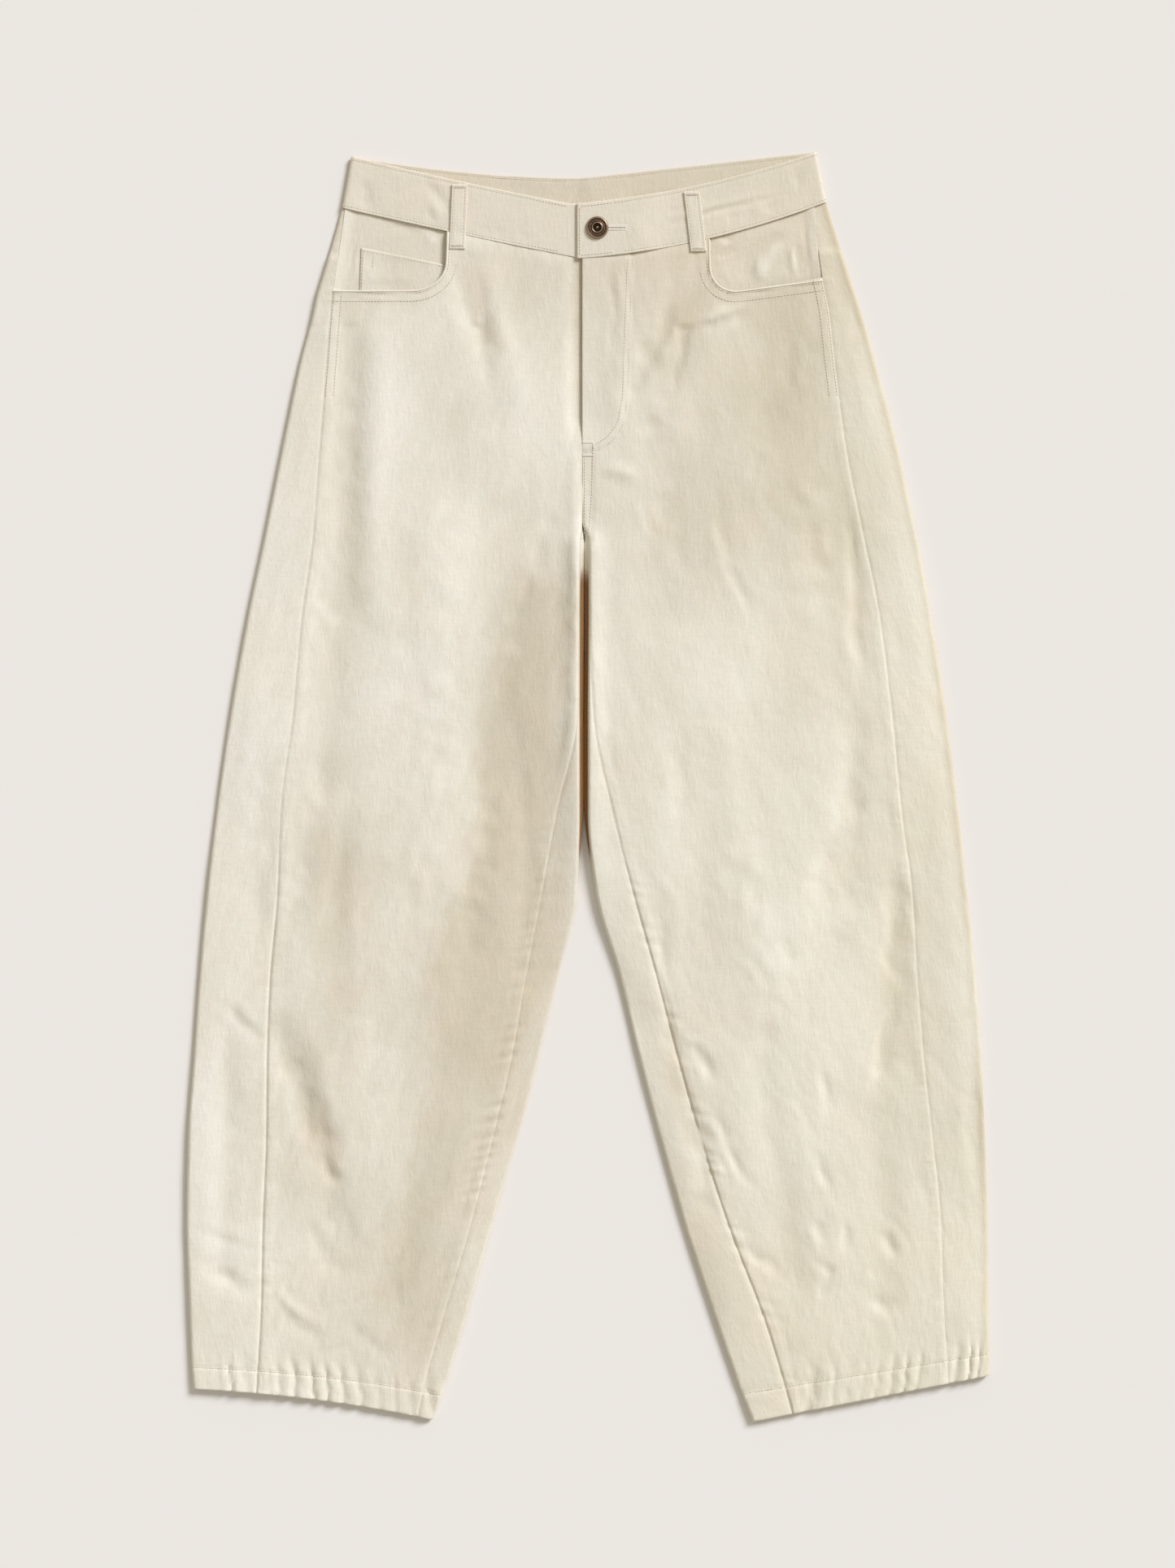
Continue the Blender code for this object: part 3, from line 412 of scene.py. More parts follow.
class Leg:
    """One leg as a flattened tube. A line across it starts "row" down at the outer edge."""

    def __init__(self, side, stations, folds, creases, dull, mouth, stack, seed):
        self.side = side
        self.dull = dull
        self.creases = creases
        self.stack = stack
        self.seed = seed
        self.folds = folds
        self.mouth = mouth
        self.places = np.array([station.down for station in stations])
        self.values = {name: np.array([getattr(s, name) for s in stations]) for name in Station._fields}
        self.top = stations[0].down
        self.hem = stations[-1].down
        self.edge_path = mouth_path(mouth, 50.0, stations[0].side_seam + 14.0)

    def at(self, name, row):
        return through(row, self.places, self.values[name])

    def line(self, row, across, behind):
        """How far down each point of a line lies: its drop grows evenly, its bow is a parabola."""
        outer = self.at("outer", row)
        along = np.minimum((outer - across) / (outer - self.at("inner", row)), 1.0)
        drop = np.where(behind, self.at("back_drop", row), self.at("drop", row))
        return row + drop * along + self.at("bow", row) * 4 * along * (1 - along)

    def row_of(self, across, down):
        """The row of the line that passes through a place, closed in on in a few steps."""
        row = np.clip(down, self.top, self.hem)
        for _ in range(8):
            row = np.clip(row + down - self.line(row, across, False), self.top, self.hem)
        return row

    def nose(self, row):
        """How far the inner edge is a fold of its own: not at all above the crotch."""
        return ease((row - CROTCH_STARTS) / (CROTCH_DOWN - CROTCH_STARTS))

    def sewing(self, row, across, down):
        """What the sewing does to the cloth: a groove along each seam, the allowance pressed
        behind it as a low ridge, and puckers that fade with distance from the thread."""
        side = self.at("side_seam", row) - across
        deep = ease((row - 540.0) / 90.0)
        rise = -(0.3 + 0.55 * deep * (self.side < 0)) * bell(side / 1.2)
        allowance = ease((side - 0.2) / 2.4) * (1 - ease((side - 6.6) / 3.2))
        uneven = 0.75 + 0.4 * wander(0 * down, down / 40.0, self.seed + 2)
        rise = rise + 0.4 * allowance * uneven
        rise = rise + 0.3 * allowance * ease((row - 420.0) / 150.0) * pucker(down, 6.4, self.seed)
        rise = rise + 0.12 * pucker(down, 17.0, self.seed + 1) * bell(side / 9.0)
        inside = across - self.at("inseam", row)
        sewn = self.nose(row)
        low = ease((row - 480.0) / 220.0)
        rise = rise - sewn * (0.4 + 0.6 * deep * (self.side > 0)) * bell(inside / 1.2)
        rise = rise + 0.3 * sewn * ease((inside - 0.3) / 2.2) * (1 - ease((inside - 6.0) / 3.5))
        strength = (0.06 + 0.75 * low) * bell(inside / np.where(inside > 0, 11.0, 3.0))
        rise = rise + sewn * strength * pucker(down - 0.25 * across, 10.5, self.seed + 3)
        above = self.hem - row
        rise = rise - 0.3 * bell((above - HEM_DEPTH + 0.6) / 1.2)
        spread = bell(np.maximum(above - HEM_DEPTH, 0) / 9.0)
        slanted = across + 0.12 * down + 1.5 * wander(down / 6.0, across / 15.0, self.seed + 8)
        gathers = 1.15 * pucker(slanted, 13.5, self.seed + 6) + 0.25 * pucker(slanted, 5.2, self.seed + 7)
        rise = rise + spread * gathers
        rise = rise + 0.3 * ease((HEM_DEPTH - above) / 3.0)
        band = down - self.line(self.top, across, False)
        rise = rise - 0.2 * bell(band / 2.5)
        if self.side > 0:
            edge = np.interp(down, FLY_OUTER_DOWN, FLY_OUTER_ACROSS)
            step = ease((edge - across) / 2.0 + 0.3) * (1 - ease((down - 232.0) / 5.0))
            rows = bell((edge - across) / 1.3) + 0.6 * bell((edge - across - 4.0) / 1.3)
            rise = rise + 0.8 * step - 0.5 * rows * (down < 238)
            strip = ease((down - 236.0) / 4.0) * (1 - ease((down - 304.0) / 8.0))
            rise = rise - 0.7 * strip * ease((9.5 - across) / 2.0)
        else:
            strip = ease((down - 232.0) / 12.0) * (1 - ease((down - 330.0) / 30.0))
            rise = rise + 1.1 * strip * bell((across - 6.5) / 5.0)
        return rise + 0.2 * bell(band / 12.0) * pucker(across, 13.0, self.seed + 9)

    def mouth_edge(self, across, down):
        """The doubled edge of the pocket mouth: raised as far as its second row of stitches."""
        away = path_distance(self.edge_path, across, down)
        inside = (across > self.mouth.across) & (down < self.mouth.down)
        edge = 0.35 * (1 - ease((away - 7.0) / 2.5)) - 0.45 * bell((away - 2.4) / 0.9)
        edge = edge + 0.5 * bell(away / 1.2)
        return np.where(inside & (away > 6.0), 0.0, edge)

    def drift(self, across, down, reach):
        """Soft uneven swell of worn cloth, with streaks that fan out from the crotch, faint on the
        thigh and stronger from the knee down."""
        knee = ease((down - 260.0) / 260.0)
        slanted = across - 0.34 * down
        bent = slanted + 3.0 * wander(across / 23.0, down / 27.0, self.seed + 24)
        wide = 1.0 * wander(across / 52.0, down / 110.0, self.seed + 20)
        middling = 0.36 * wander((across - 0.15 * down) / 19.0, down / 52.0, self.seed + 21)
        streak = (0.07 + 0.09 * knee) * wander(bent / 8.5, down / 26.0, self.seed + 22)
        fine = (0.035 + 0.04 * knee) * wander(bent / 3.4, down / 9.0, self.seed + 23)
        grain = (0.02 + 0.015 * knee) * wander(across / 1.9, down / 4.1, self.seed + 27)
        sharp = (0.08 + 0.22 * knee) * crumple(bent / 15.0, down / 33.0, self.seed + 25)
        crisp = (0.05 + 0.08 * knee) * crumple(bent / 6.5, down / 15.0, self.seed + 28)
        patch = ease(0.5 + wander(across / 40.0, down / 50.0, self.seed + 26))
        return reach * (wide + middling + streak + fine + grain + sharp * patch + crisp * (1 - 0.6 * patch))

    def folded(self, across, down):
        """Rise of the creases, and of the large folds."""
        rise = np.zeros(np.broadcast(across, down).shape)
        for fold in self.folds:
            rise = rise + 1.5 * fold.rise * bell(fold_distance(fold, across, down))
        return (1.1 if self.side < 0 else 1.5) * creased(self.creases, across, down), rise

    def wear(self, across, down):
        """Painted shade and wear, from 0.1 to 1: painted shade in the troughs of folds and creases, in broad
        patches and beside the fly's edge, painted light on their ridges and in a few patches, and faint
        random streaks of tone.
        """
        wide = wander(across / 52.0, down / 110.0, self.seed + 20)
        creases, folds = self.folded(across, down)
        # Painted shade and light: darker in the troughs of the folds and creases and where the wide swell
        # runs low, lighter on the ridges.
        worn_and_shaded = 0.59 + 0.02 * creases + 0.07 * folds + 0.14 * wide
        # Painted shadow of the fly's raised edge on the right leg, beside the centre front under the lap.
        if self.side < 0:
            lapped = ease((down - 70.0) / 20.0) * (1 - ease((down - 200.0) / 40.0))
            worn_and_shaded = worn_and_shaded - 0.4 * lapped * (1 - ease((across - 1.0) / 10.0))
        # Broad patches of painted shade, and a few of painted light.
        for patch in self.dull:
            worn_and_shaded = worn_and_shaded + patch.rise * bell(fold_distance(patch, across, down))
        bent = across - 0.3 * down + 4.0 * wander(across / 23.0, down / 27.0, self.seed + 24)
        return np.clip(worn_and_shaded + 0.07 * wander(bent / 5.0, down / 17.0, self.seed + 33), 0.1, 1.0)

    def between_legs(self, row, across, below, worn_and_shaded):
        """The same with more painted shade: a little darker along the left leg's outer fold, where its rolled
        rim faces the lamp, and down to 0 where the folds of both legs roll down against each other, for the
        deep brown shade in the gap between them."""
        # Painted shade along the left leg's outer fold.
        worn_and_shaded = worn_and_shaded - 0.45 * (1 - ease((self.at("outer", row) - across) / 9.0)) * (self.side > 0)
        # Painted shade in the gap between the legs, from the crotch down.
        beside = ease((row - 296.0) / 45.0) * (1 - ease((row - 545.0) / 40.0))
        from_edge = across - self.at("inner", row)
        reach = np.where(below > 0, 1 - ease((from_edge - 5.0) / 4.0), 1 - ease((from_edge - 0.1) / 2.2))
        return np.clip(worn_and_shaded, 0.1, 1.0) * (1 - beside * reach)

    def edge_height(self, row):
        """Height of the folded edges: the inside leg rolls higher where the legs lie together."""
        beside = ease((row - 285.0) / 30.0) * (1 - ease((row - 520.0) / 120.0))
        return self.at("edge", row) + 4.4 * beside

    def crown(self, row, across, down):
        """Height of the cloth on top before it turns over the folds at its edges."""
        outer = self.at("outer", row)
        inner = self.at("inner", row)
        below_band = down - self.line(self.top, across, False)
        loft = 2.0 * ease((below_band - 25.0) / 90.0) * (1 - ease((row - 900.0) / 60.0))
        middle = self.at("middle", row) + loft
        edge = self.at("edge", row) + 0 * across
        edge = np.where(across < (inner + outer) / 2, self.edge_height(row), edge)
        from_outer = 1 - ease((outer - across) / EDGE_BLEND)
        from_inner = self.nose(row) * (1 - ease((across - inner) / EDGE_BLEND))
        height = middle + (edge - middle) * np.maximum(from_outer, from_inner)
        creases, folds = self.folded(across, down)
        height = height + creases + folds
        height = height + self.drift(across, down, 1.0) + self.sewing(row, across, down)
        height = height + self.mouth_edge(across, down)
        height = LEAST_HEIGHT + 0.3 * np.log1p(np.exp((height - LEAST_HEIGHT) / 0.3))
        over_pocket = ease((across - self.mouth.across + POCKET_UNDER + 10.0) / 8.0)
        over_pocket = over_pocket * (1 - ease((down - self.mouth.down - POCKET_DEPTH) / 12.0))
        over_pocket = over_pocket * ease((down - self.top - 30.0) / 10.0)
        height = np.maximum(height, self.stack * over_pocket)
        fly = 1 - ease((row - FLY_BOTTOM + 25.0) / 25.0)
        if self.side > 0:
            lap = fly * (1 - ease((across - 3.0) / 26.0))
            return height + (FLY_OVER_HEIGHT - height) * lap
        lap = fly * (1 - ease((across - 2.0) / 13.0))
        return height + (FLY_UNDER_HEIGHT - height) * lap

    def surface(self, row, across, below):
        """Points and outward directions of the tube: level on top and underneath, turned over
        an ellipse at both folds. "below" is 1 underneath and 0 on top."""
        nose = self.nose(row)
        lift_out = np.sin(np.arccos(np.clip(1 - (self.at("outer", row) - across) / TURN, 0, 1)))
        lift_in = np.sin(np.arccos(np.clip(1 - (across - self.at("inner", row)) / TURN, 0, 1)))
        lift_in = 1 - nose + nose * lift_in
        lift = lift_out * lift_in
        lean = np.sqrt(1 - lift_out**2) - nose * np.sqrt(1 - np.minimum(lift_in, 1) ** 2)
        down = self.line(row, across, below > 0)
        beside = ease((row - 290.0) / 20.0) * (1 - ease((row - 500.0) / 80.0))
        round_in = np.arccos(np.clip(1 - (across - self.at("inner", row)) / TURN, 0, 1)) / (np.pi / 2)
        middle_across = (self.at("outer", row) + self.at("inner", row)) / 2
        half = np.where(across < middle_across, self.edge_height(row), self.at("edge", row)) / 2
        crown = self.crown(row, across, down)
        top = half + (crown - half) * lift
        room = np.clip(crown - 2 * CLOTH - 0.5, 0.0, 0.9)
        crease = 0.5 + self.drift(across + 300.0, down, 0.8) + 0.2 * pucker(down + across, 31.0, 8)
        spread = ease((self.hem - row - HEM_DEPTH) / 20.0)
        under = half * (1 - lift) + np.clip(crease, 0.0, 1.0) * room * spread * ease((lift - 0.8) / 0.2)
        rolled = across - 3.0 * beside * (below > 0) * np.sin(np.pi * round_in**0.6)
        points = np.stack([self.side * rolled, down, np.where(below > 0, under, top)], axis=2)
        flip = np.where(below > 0, -1.0, 1.0)
        outward = np.stack([self.side * lean, 0 * lean, flip * lift], axis=2)
        return points, outward / np.linalg.norm(outward, axis=2, keepdims=True)

    def on_top(self, across, down):
        """Points and outward directions of the cloth's upper face at places on top of the leg."""
        row = self.row_of(across, down)
        points, outward = self.surface(row[None, :], across[None, :], 0 * row[None, :])
        return points[0], outward[0]


right_leg = Leg(-1, RIGHT_STATIONS, RIGHT_FOLDS, RIGHT_CREASES, RIGHT_PAINTED_SHADING, RIGHT_MOUTH, 5.3, 11)
left_leg = Leg(1, LEFT_STATIONS, LEFT_FOLDS, LEFT_CREASES, LEFT_PAINTED_SHADING, LEFT_MOUTH, 4.8, 47)


def leg_rows(leg):
    """Rows of a panel: close together at the waist seam, the crotch and the hem."""
    near_top = leg.top + SEAM_GAP / 2 + np.array([0.0, 0.8, 1.7, 2.8, 4.2, 6.0])
    body = np.arange(leg.top + 8.5, leg.hem - HEM_DEPTH - 4.5, 2.45)
    stitched = leg.hem - HEM_DEPTH + np.arange(-3.6, 3.7, 0.9)
    hem = leg.hem - np.array([12.5, 10.0, 7.5, 5.0, 3.4, 2.2, 1.3, 0.6, 0.2, 0.0])
    return np.concatenate([near_top, body, stitched, hem])[:, None]


def front_across(leg, row):
    """Across of a front panel's points, from its side seam to its inseam or centre front."""
    inner = leg.at("inner", row)
    start = leg.at("side_seam", row) - SEAM_GAP / 2
    sewn = np.clip((row - 295.0) / 10.0, 0.0, 1.0)
    seam = walk_to(np.maximum(leg.at("inseam", row) - inner, 0)) * sewn + SEAM_GAP / 2
    ends = inner + turned_in(seam + np.array([14.0, 11.5, 9.4, 7.6, 6.0, 4.6, 3.4, 2.4, 1.5, 0.8, 0.3, 0.0]))
    near = start - np.array([0.0, 0.3, 0.8, 1.4, 2.2, 3.2, 4.4, 5.8, 7.4, 9.4])
    share = np.linspace(0, 1, 66)[1:-1]
    across = np.concatenate([near, near[:, -1:] + (ends[:, :1] - near[:, -1:]) * share, ends], axis=1)
    if leg.side < 0:
        narrowing = (row - UNDERLAP_NARROWS) / (UNDERLAP_ENDS - UNDERLAP_NARROWS)
        reach = FLY_UNDERLAP * (1 - ease(narrowing))
        lapped = 4.0 - (reach + 4.0) * np.linspace(0, 1, 12)
        across[:, -12:] = ends + (lapped - ends) * np.minimum(reach / 5.0, 1.0)
        first = across[:, 9:10]
        across[:, 10:-12] = first + (across[:, -12:-11] - first) * share
    return across


def back_across(leg, row):
    """Across and underside flags of a back panel, from its side seam round to its inseam."""
    outer = leg.at("outer", row)
    inner = leg.at("inner", row)
    seam = walk_to(outer - leg.at("side_seam", row)) - SEAM_GAP / 2
    wrap = np.minimum(QUARTER_TURN, 0.75 * seam)
    near = np.array([0.0, 0.3, 0.8, 1.5, 2.5, 4.0, 6.0])
    near = seam - near * np.minimum((seam - wrap) / 8.0, 1.0)
    over = near[:, -1:] + (wrap - near[:, -1:]) * np.linspace(0, 1, 16)[1:]
    bend = wrap * np.linspace(1, 0, 7)[1:]
    under = QUARTER_TURN * np.linspace(0, 1, 6)[1:]
    outer_part = outer - turned_in(np.concatenate([near, over, bend, under + 0 * seam], axis=1))
    start = outer - TURN
    end = inner + TURN + 3.0
    flat = start + (end - start) * np.linspace(0, 1, 50)[1:-1]
    sewn = np.clip((row - 295.0) / 10.0, 0.0, 1.0)
    seam = sewn * np.maximum(walk_to(np.maximum(leg.at("inseam", row) - inner, 0)) - SEAM_GAP / 2, 0.0)
    wrap = np.minimum(QUARTER_TURN, 0.75 * seam)
    knuckle = QUARTER_TURN + 3.0
    coming = knuckle * np.linspace(1, 0, 8)
    bent = np.concatenate([coming + 0 * seam, -wrap * np.linspace(0, 1, 6)[1:]], axis=1)
    rest = -(wrap + (seam - wrap) * np.array([0.25, 0.5, 0.7, 0.85, 0.94, 1.0]))
    bent = np.concatenate([bent, rest], axis=1)
    even = knuckle - (knuckle + seam) * np.linspace(0, 1, bent.shape[1])
    walk = even + (bent - even) * ease((seam - 1.0) / 4.0)
    inner_part = inner + turned_in(np.abs(walk))
    inner_part[:, -1:] = inner_part[:, -1:] + SEAM_GAP / 2 * (sewn < 1)
    across = np.concatenate([outer_part, flat, inner_part], axis=1)
    below = np.zeros_like(across)
    below[:, 28 : 33 + 48] = 1
    below[:, 81:] = walk > 0
    below[:, -1:] = np.where(sewn < 1, 1, below[:, -1:])
    return across, below


def wall(name, both_faces, weave, wear):
    """A closed sheet of twill between an outer and an inner grid of points, riding on the one body. One UV
    map has its weave's own coordinates in metres, the other its painted shade and wear."""
    outer, inner = both_faces
    rows, columns = outer.shape[:2]
    count = rows * columns
    index = np.arange(count).reshape(rows, columns)
    front = np.stack([index[:-1, :-1], index[:-1, 1:], index[1:, 1:], index[1:, :-1]], axis=-1)
    front = front.reshape(-1, 4)
    rim = np.concatenate([index[0], index[1:, -1], index[-1, -2::-1], index[-2:0:-1, 0]])
    after = np.roll(rim, -1)
    sides = np.stack([after, rim, rim + count, after + count], axis=-1)
    points = placed(np.concatenate([outer.reshape(-1, 3), inner.reshape(-1, 3)]))
    corner = points[front]
    normal = np.cross(corner[:, 2] - corner[:, 0], corner[:, 3] - corner[:, 1])
    outward = points[front[:, 0]] - points[front[:, 0] + count]
    faces = np.concatenate([front, front[:, ::-1] + count, sides])
    if (normal * outward).sum() < 0:
        faces = faces[:, ::-1]
    mesh = bpy.data.meshes.new(name)
    mesh.vertices.add(2 * count)
    mesh.vertices.foreach_set("co", points.ravel())
    mesh.loops.add(faces.size)
    mesh.loops.foreach_set("vertex_index", np.ascontiguousarray(faces).ravel())
    mesh.polygons.add(len(faces))
    mesh.polygons.foreach_set("loop_start", np.arange(len(faces)) * 4)
    mesh.update(calc_edges=True)
    coordinates = np.concatenate([weave.reshape(-1, 2)] * 2) * MM
    mesh.uv_layers.new(name="weave").data.foreach_set("uv", coordinates[faces].ravel())
    # Second UV map: the painted shade and wear value of each point.
    worn_and_shaded = np.tile((wear + np.zeros((rows, columns))).reshape(-1, 1), (2, 2))
    mesh.uv_layers.new(name="wear").data.foreach_set("uv", worn_and_shaded[faces].ravel())
    return shown(name, mesh, twill)


def shown(name, mesh, finish):
    """A piece of the garment from a finished mesh."""
    mesh.materials.append(finish)
    mesh.shade_smooth()
    mesh.set_sharp_from_angle(angle=np.radians(50))
    piece = bpy.data.objects.new(name, mesh)
    bpy.context.scene.collection.objects.link(piece)
    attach(piece, "root")
    return piece


def carve(piece, cutters):
    """Takes each cutter's volume out of a piece for good, then removes the cutter."""
    for cutter in cutters:
        knife = piece.modifiers.new("knife", "BOOLEAN")
        knife.operation = "DIFFERENCE"
        knife.solver = "EXACT"
        knife.object = cutter
    evaluated = piece.evaluated_get(bpy.context.evaluated_depsgraph_get())
    carved = bpy.data.meshes.new_from_object(evaluated)
    piece.modifiers.clear()
    piece.data = carved
    carved.shade_smooth()
    carved.set_sharp_from_angle(angle=np.radians(50))
    for cutter in cutters:
        bpy.data.objects.remove(cutter, do_unlink=True)


def prism(name, outline, bottom, top):
    """A cutter: a flat outline of places carried straight up between two heights."""
    shape = bmesh.new()
    low = placed(np.concatenate([outline, np.full((len(outline), 1), bottom)], axis=1))
    face = shape.faces.new([shape.verts.new(point) for point in low])
    raised = bmesh.ops.extrude_face_region(shape, geom=[face])
    moved = [item for item in raised["geom"] if isinstance(item, bmesh.types.BMVert)]
    bmesh.ops.translate(shape, verts=moved, vec=(0, 0, (top - bottom) * MM))
    bmesh.ops.recalc_face_normals(shape, faces=shape.faces)
    mesh = bpy.data.meshes.new(name)
    shape.to_mesh(mesh)
    shape.free()
    cutter = bpy.data.objects.new(name, mesh)
    bpy.context.scene.collection.objects.link(cutter)
    return cutter


class Wire:
    """A shader socket that does sums: each sign adds the Math node of that name."""

    def __init__(self, finish, socket):
        self.finish = finish
        self.socket = socket

    def sum(self, operation, first, second):
        return self.finish.node("ShaderNodeMath", {"operation": operation}, {0: first, 1: second})

    def __add__(self, other):
        return self.sum("ADD", self, other)

    def __radd__(self, other):
        return self.sum("ADD", other, self)

    def __sub__(self, other):
        return self.sum("SUBTRACT", self, other)

    def __rsub__(self, other):
        return self.sum("SUBTRACT", other, self)

    def __mul__(self, other):
        return self.sum("MULTIPLY", self, other)

    def __rmul__(self, other):
        return self.sum("MULTIPLY", other, self)


class Finish:
    """A Principled material: plain numbers are set on its sockets, and nodes join through node."""

    def __init__(self, name, **plain):
        self.material = bpy.data.materials.new(name)
        self.material.use_nodes = True
        self.tree = self.material.node_tree
        self.shader = self.tree.nodes["Principled BSDF"]
        for socket, value in plain.items():
            self.shader.inputs[socket.replace("_", " ")].default_value = value

    def node(self, kind, settings, sockets, output=0):
        made = self.tree.nodes.new(kind)
        for name, value in settings.items():
            if name == "stops":
                ramp = made.color_ramp
                ramp.elements[0].position, ramp.elements[0].color = value[0]
                ramp.elements[-1].position, ramp.elements[-1].color = value[-1]
                for position, colour in value[1:-1]:
                    ramp.elements.new(position).color = colour
            else:
                setattr(made, name, value)
        for key, value in sockets.items():
            if isinstance(value, Wire):
                self.tree.links.new(value.socket, made.inputs[key])
            else:
                made.inputs[key].default_value = value
        return Wire(self, made.outputs[output])

    def noise(self, where, scale, detail=2.0, roughness=0.5):
        sockets = {"Vector": where, "Scale": scale, "Detail": detail, "Roughness": roughness}
        return self.node("ShaderNodeTexNoise", {}, sockets)

    def stretched(self, where, scale):
        return self.node("ShaderNodeMapping", {}, {"Vector": where, "Scale": scale})

    def mix(self, factor, first, second):
        return self.node("ShaderNodeMix", {"data_type": "RGBA"}, {0: factor, 6: first, 7: second}, 2)

    def ramp(self, factor, *stops):
        return self.node("ShaderNodeValToRGB", {"stops": stops}, {"Fac": factor})

    def paint(self, socket, wire):
        self.tree.links.new(wire.socket, self.shader.inputs[socket])

    def emboss(self, height, strength, distance):
        sockets = {"Strength": strength, "Distance": distance, "Height": height}
        self.paint("Normal", self.node("ShaderNodeBump", {}, sockets))


def grey(value):
    return (value, value, value, 1.0)


def smooth_step(finish, value, start, end):
    """Runs from 0 to 1 with level ends between two values."""
    ranges = {"Value": value, "From Min": start, "From Max": end}
    return finish.node("ShaderNodeMapRange", {"interpolation_type": "SMOOTHSTEP"}, ranges)


def tinted(finish, colour, shade, factor):
    """The colour, multiplied by a shade where the factor is 1."""
    settings = {"data_type": "RGBA", "blend_type": "MULTIPLY"}
    return finish.node("ShaderNodeMix", settings, {0: factor, 6: colour, 7: shade}, 2)


def twill_finish(name, cream, warm, cool):
    """Cream twill: large warm and cool clouds, darker and browner with the painted shade and wear value down
    to a deep brown painted shade, painted shade at the waist, yellower towards one side, slubs along the warp
    and fainter ones across, diagonal ribs."""
    finish = Finish(name, Roughness=0.9, Sheen_Weight=0.08, Sheen_Roughness=0.55, Specular_IOR_Level=0.2)
    place = finish.node("ShaderNodeTexCoord", {}, {}, 3)
    weave = finish.node("ShaderNodeUVMap", {"uv_map": "weave"}, {})
    wear = finish.node("ShaderNodeUVMap", {"uv_map": "wear"}, {})
    wear = finish.node("ShaderNodeSeparateXYZ", {}, {0: wear})
    cloud = finish.ramp(finish.noise(place, 9.0, 3.0, 0.6), (0.36, grey(0.0)), (0.64, grey(1.0)))
    second = finish.ramp(finish.noise(place, 26.0, 3.0, 0.6), (0.38, grey(0.0)), (0.62, grey(1.0)))
    colour = finish.mix(cloud, warm, cream)
    colour = finish.mix(second * 0.7, colour, cool)
    # Ramp of painted shade and wear: deep brown at 0 for the shade between the legs, lighter up to plain
    # cream.
    stops = (
        (0.0, (0.33, 0.175, 0.075, 1)),
        (0.1, (0.79, 0.745, 0.665, 1)),
        (0.4, (0.90, 0.877, 0.84, 1)),
        (0.75, grey(1.0)),
    )
    colour = tinted(finish, colour, finish.ramp(wear, *stops), 1.0)
    across = finish.node("ShaderNodeSeparateXYZ", {}, {0: place}, 0)
    up = finish.node("ShaderNodeSeparateXYZ", {}, {0: place}, 1)
    # Painted shade: darker towards the waist.
    colour = tinted(finish, colour, (0.972, 0.95, 0.93, 1), smooth_step(finish, up, 0.33, 0.44))
    colour = tinted(finish, colour, (0.985, 0.978, 0.93, 1), smooth_step(finish, across, -0.02, 0.25))
    colour = tinted(finish, colour, (0.985, 0.98, 0.965, 1), smooth_step(finish, up, -0.22, -0.42))
    slub = finish.noise(finish.stretched(weave, (620.0, 70.0, 1.0)), 1.0, 3.0, 0.65)
    weft = finish.noise(finish.stretched(weave, (80.0, 700.0, 1.0)), 1.0, 2.0, 0.6)
    fleck = finish.noise(finish.stretched(weave, (900.0, 800.0, 1.0)), 1.0, 2.0, 0.7)
    shade = finish.ramp(slub * 0.5 + weft * 0.3 + fleck * 0.2, (0.36, grey(0.9)), (0.64, grey(1.0)))
    finish.paint("Base Color", tinted(finish, colour, shade, 1.0))
    turned = finish.node("ShaderNodeMapping", {}, {"Vector": weave, "Rotation": (0.0, 0.0, 0.9)})
    ribs = finish.node("ShaderNodeTexWave", {"wave_profile": "SIN"}, {"Vector": turned, "Scale": 210.0})
    sockets = {"Vector": place, "Rotation": (0, 0, 0.25), "Scale": (190, 70, 1)}
    slanted = finish.node("ShaderNodeMapping", {}, sockets)
    crinkle = finish.noise(slanted, 1.0, 2.0, 0.6) - 0.5
    crinkle = finish.node("ShaderNodeMath", {"operation": "ABSOLUTE"}, {0: crinkle})
    finish.emboss(ribs * 0.25 + fleck * 0.3 + slub * 0.5 + crinkle * 3.4, 0.5, 0.0003)
    return finish.material


twill = twill_finish("cream_twill", (0.87, 0.823, 0.717, 1), (0.87, 0.80, 0.675, 1), (0.84, 0.803, 0.686, 1))

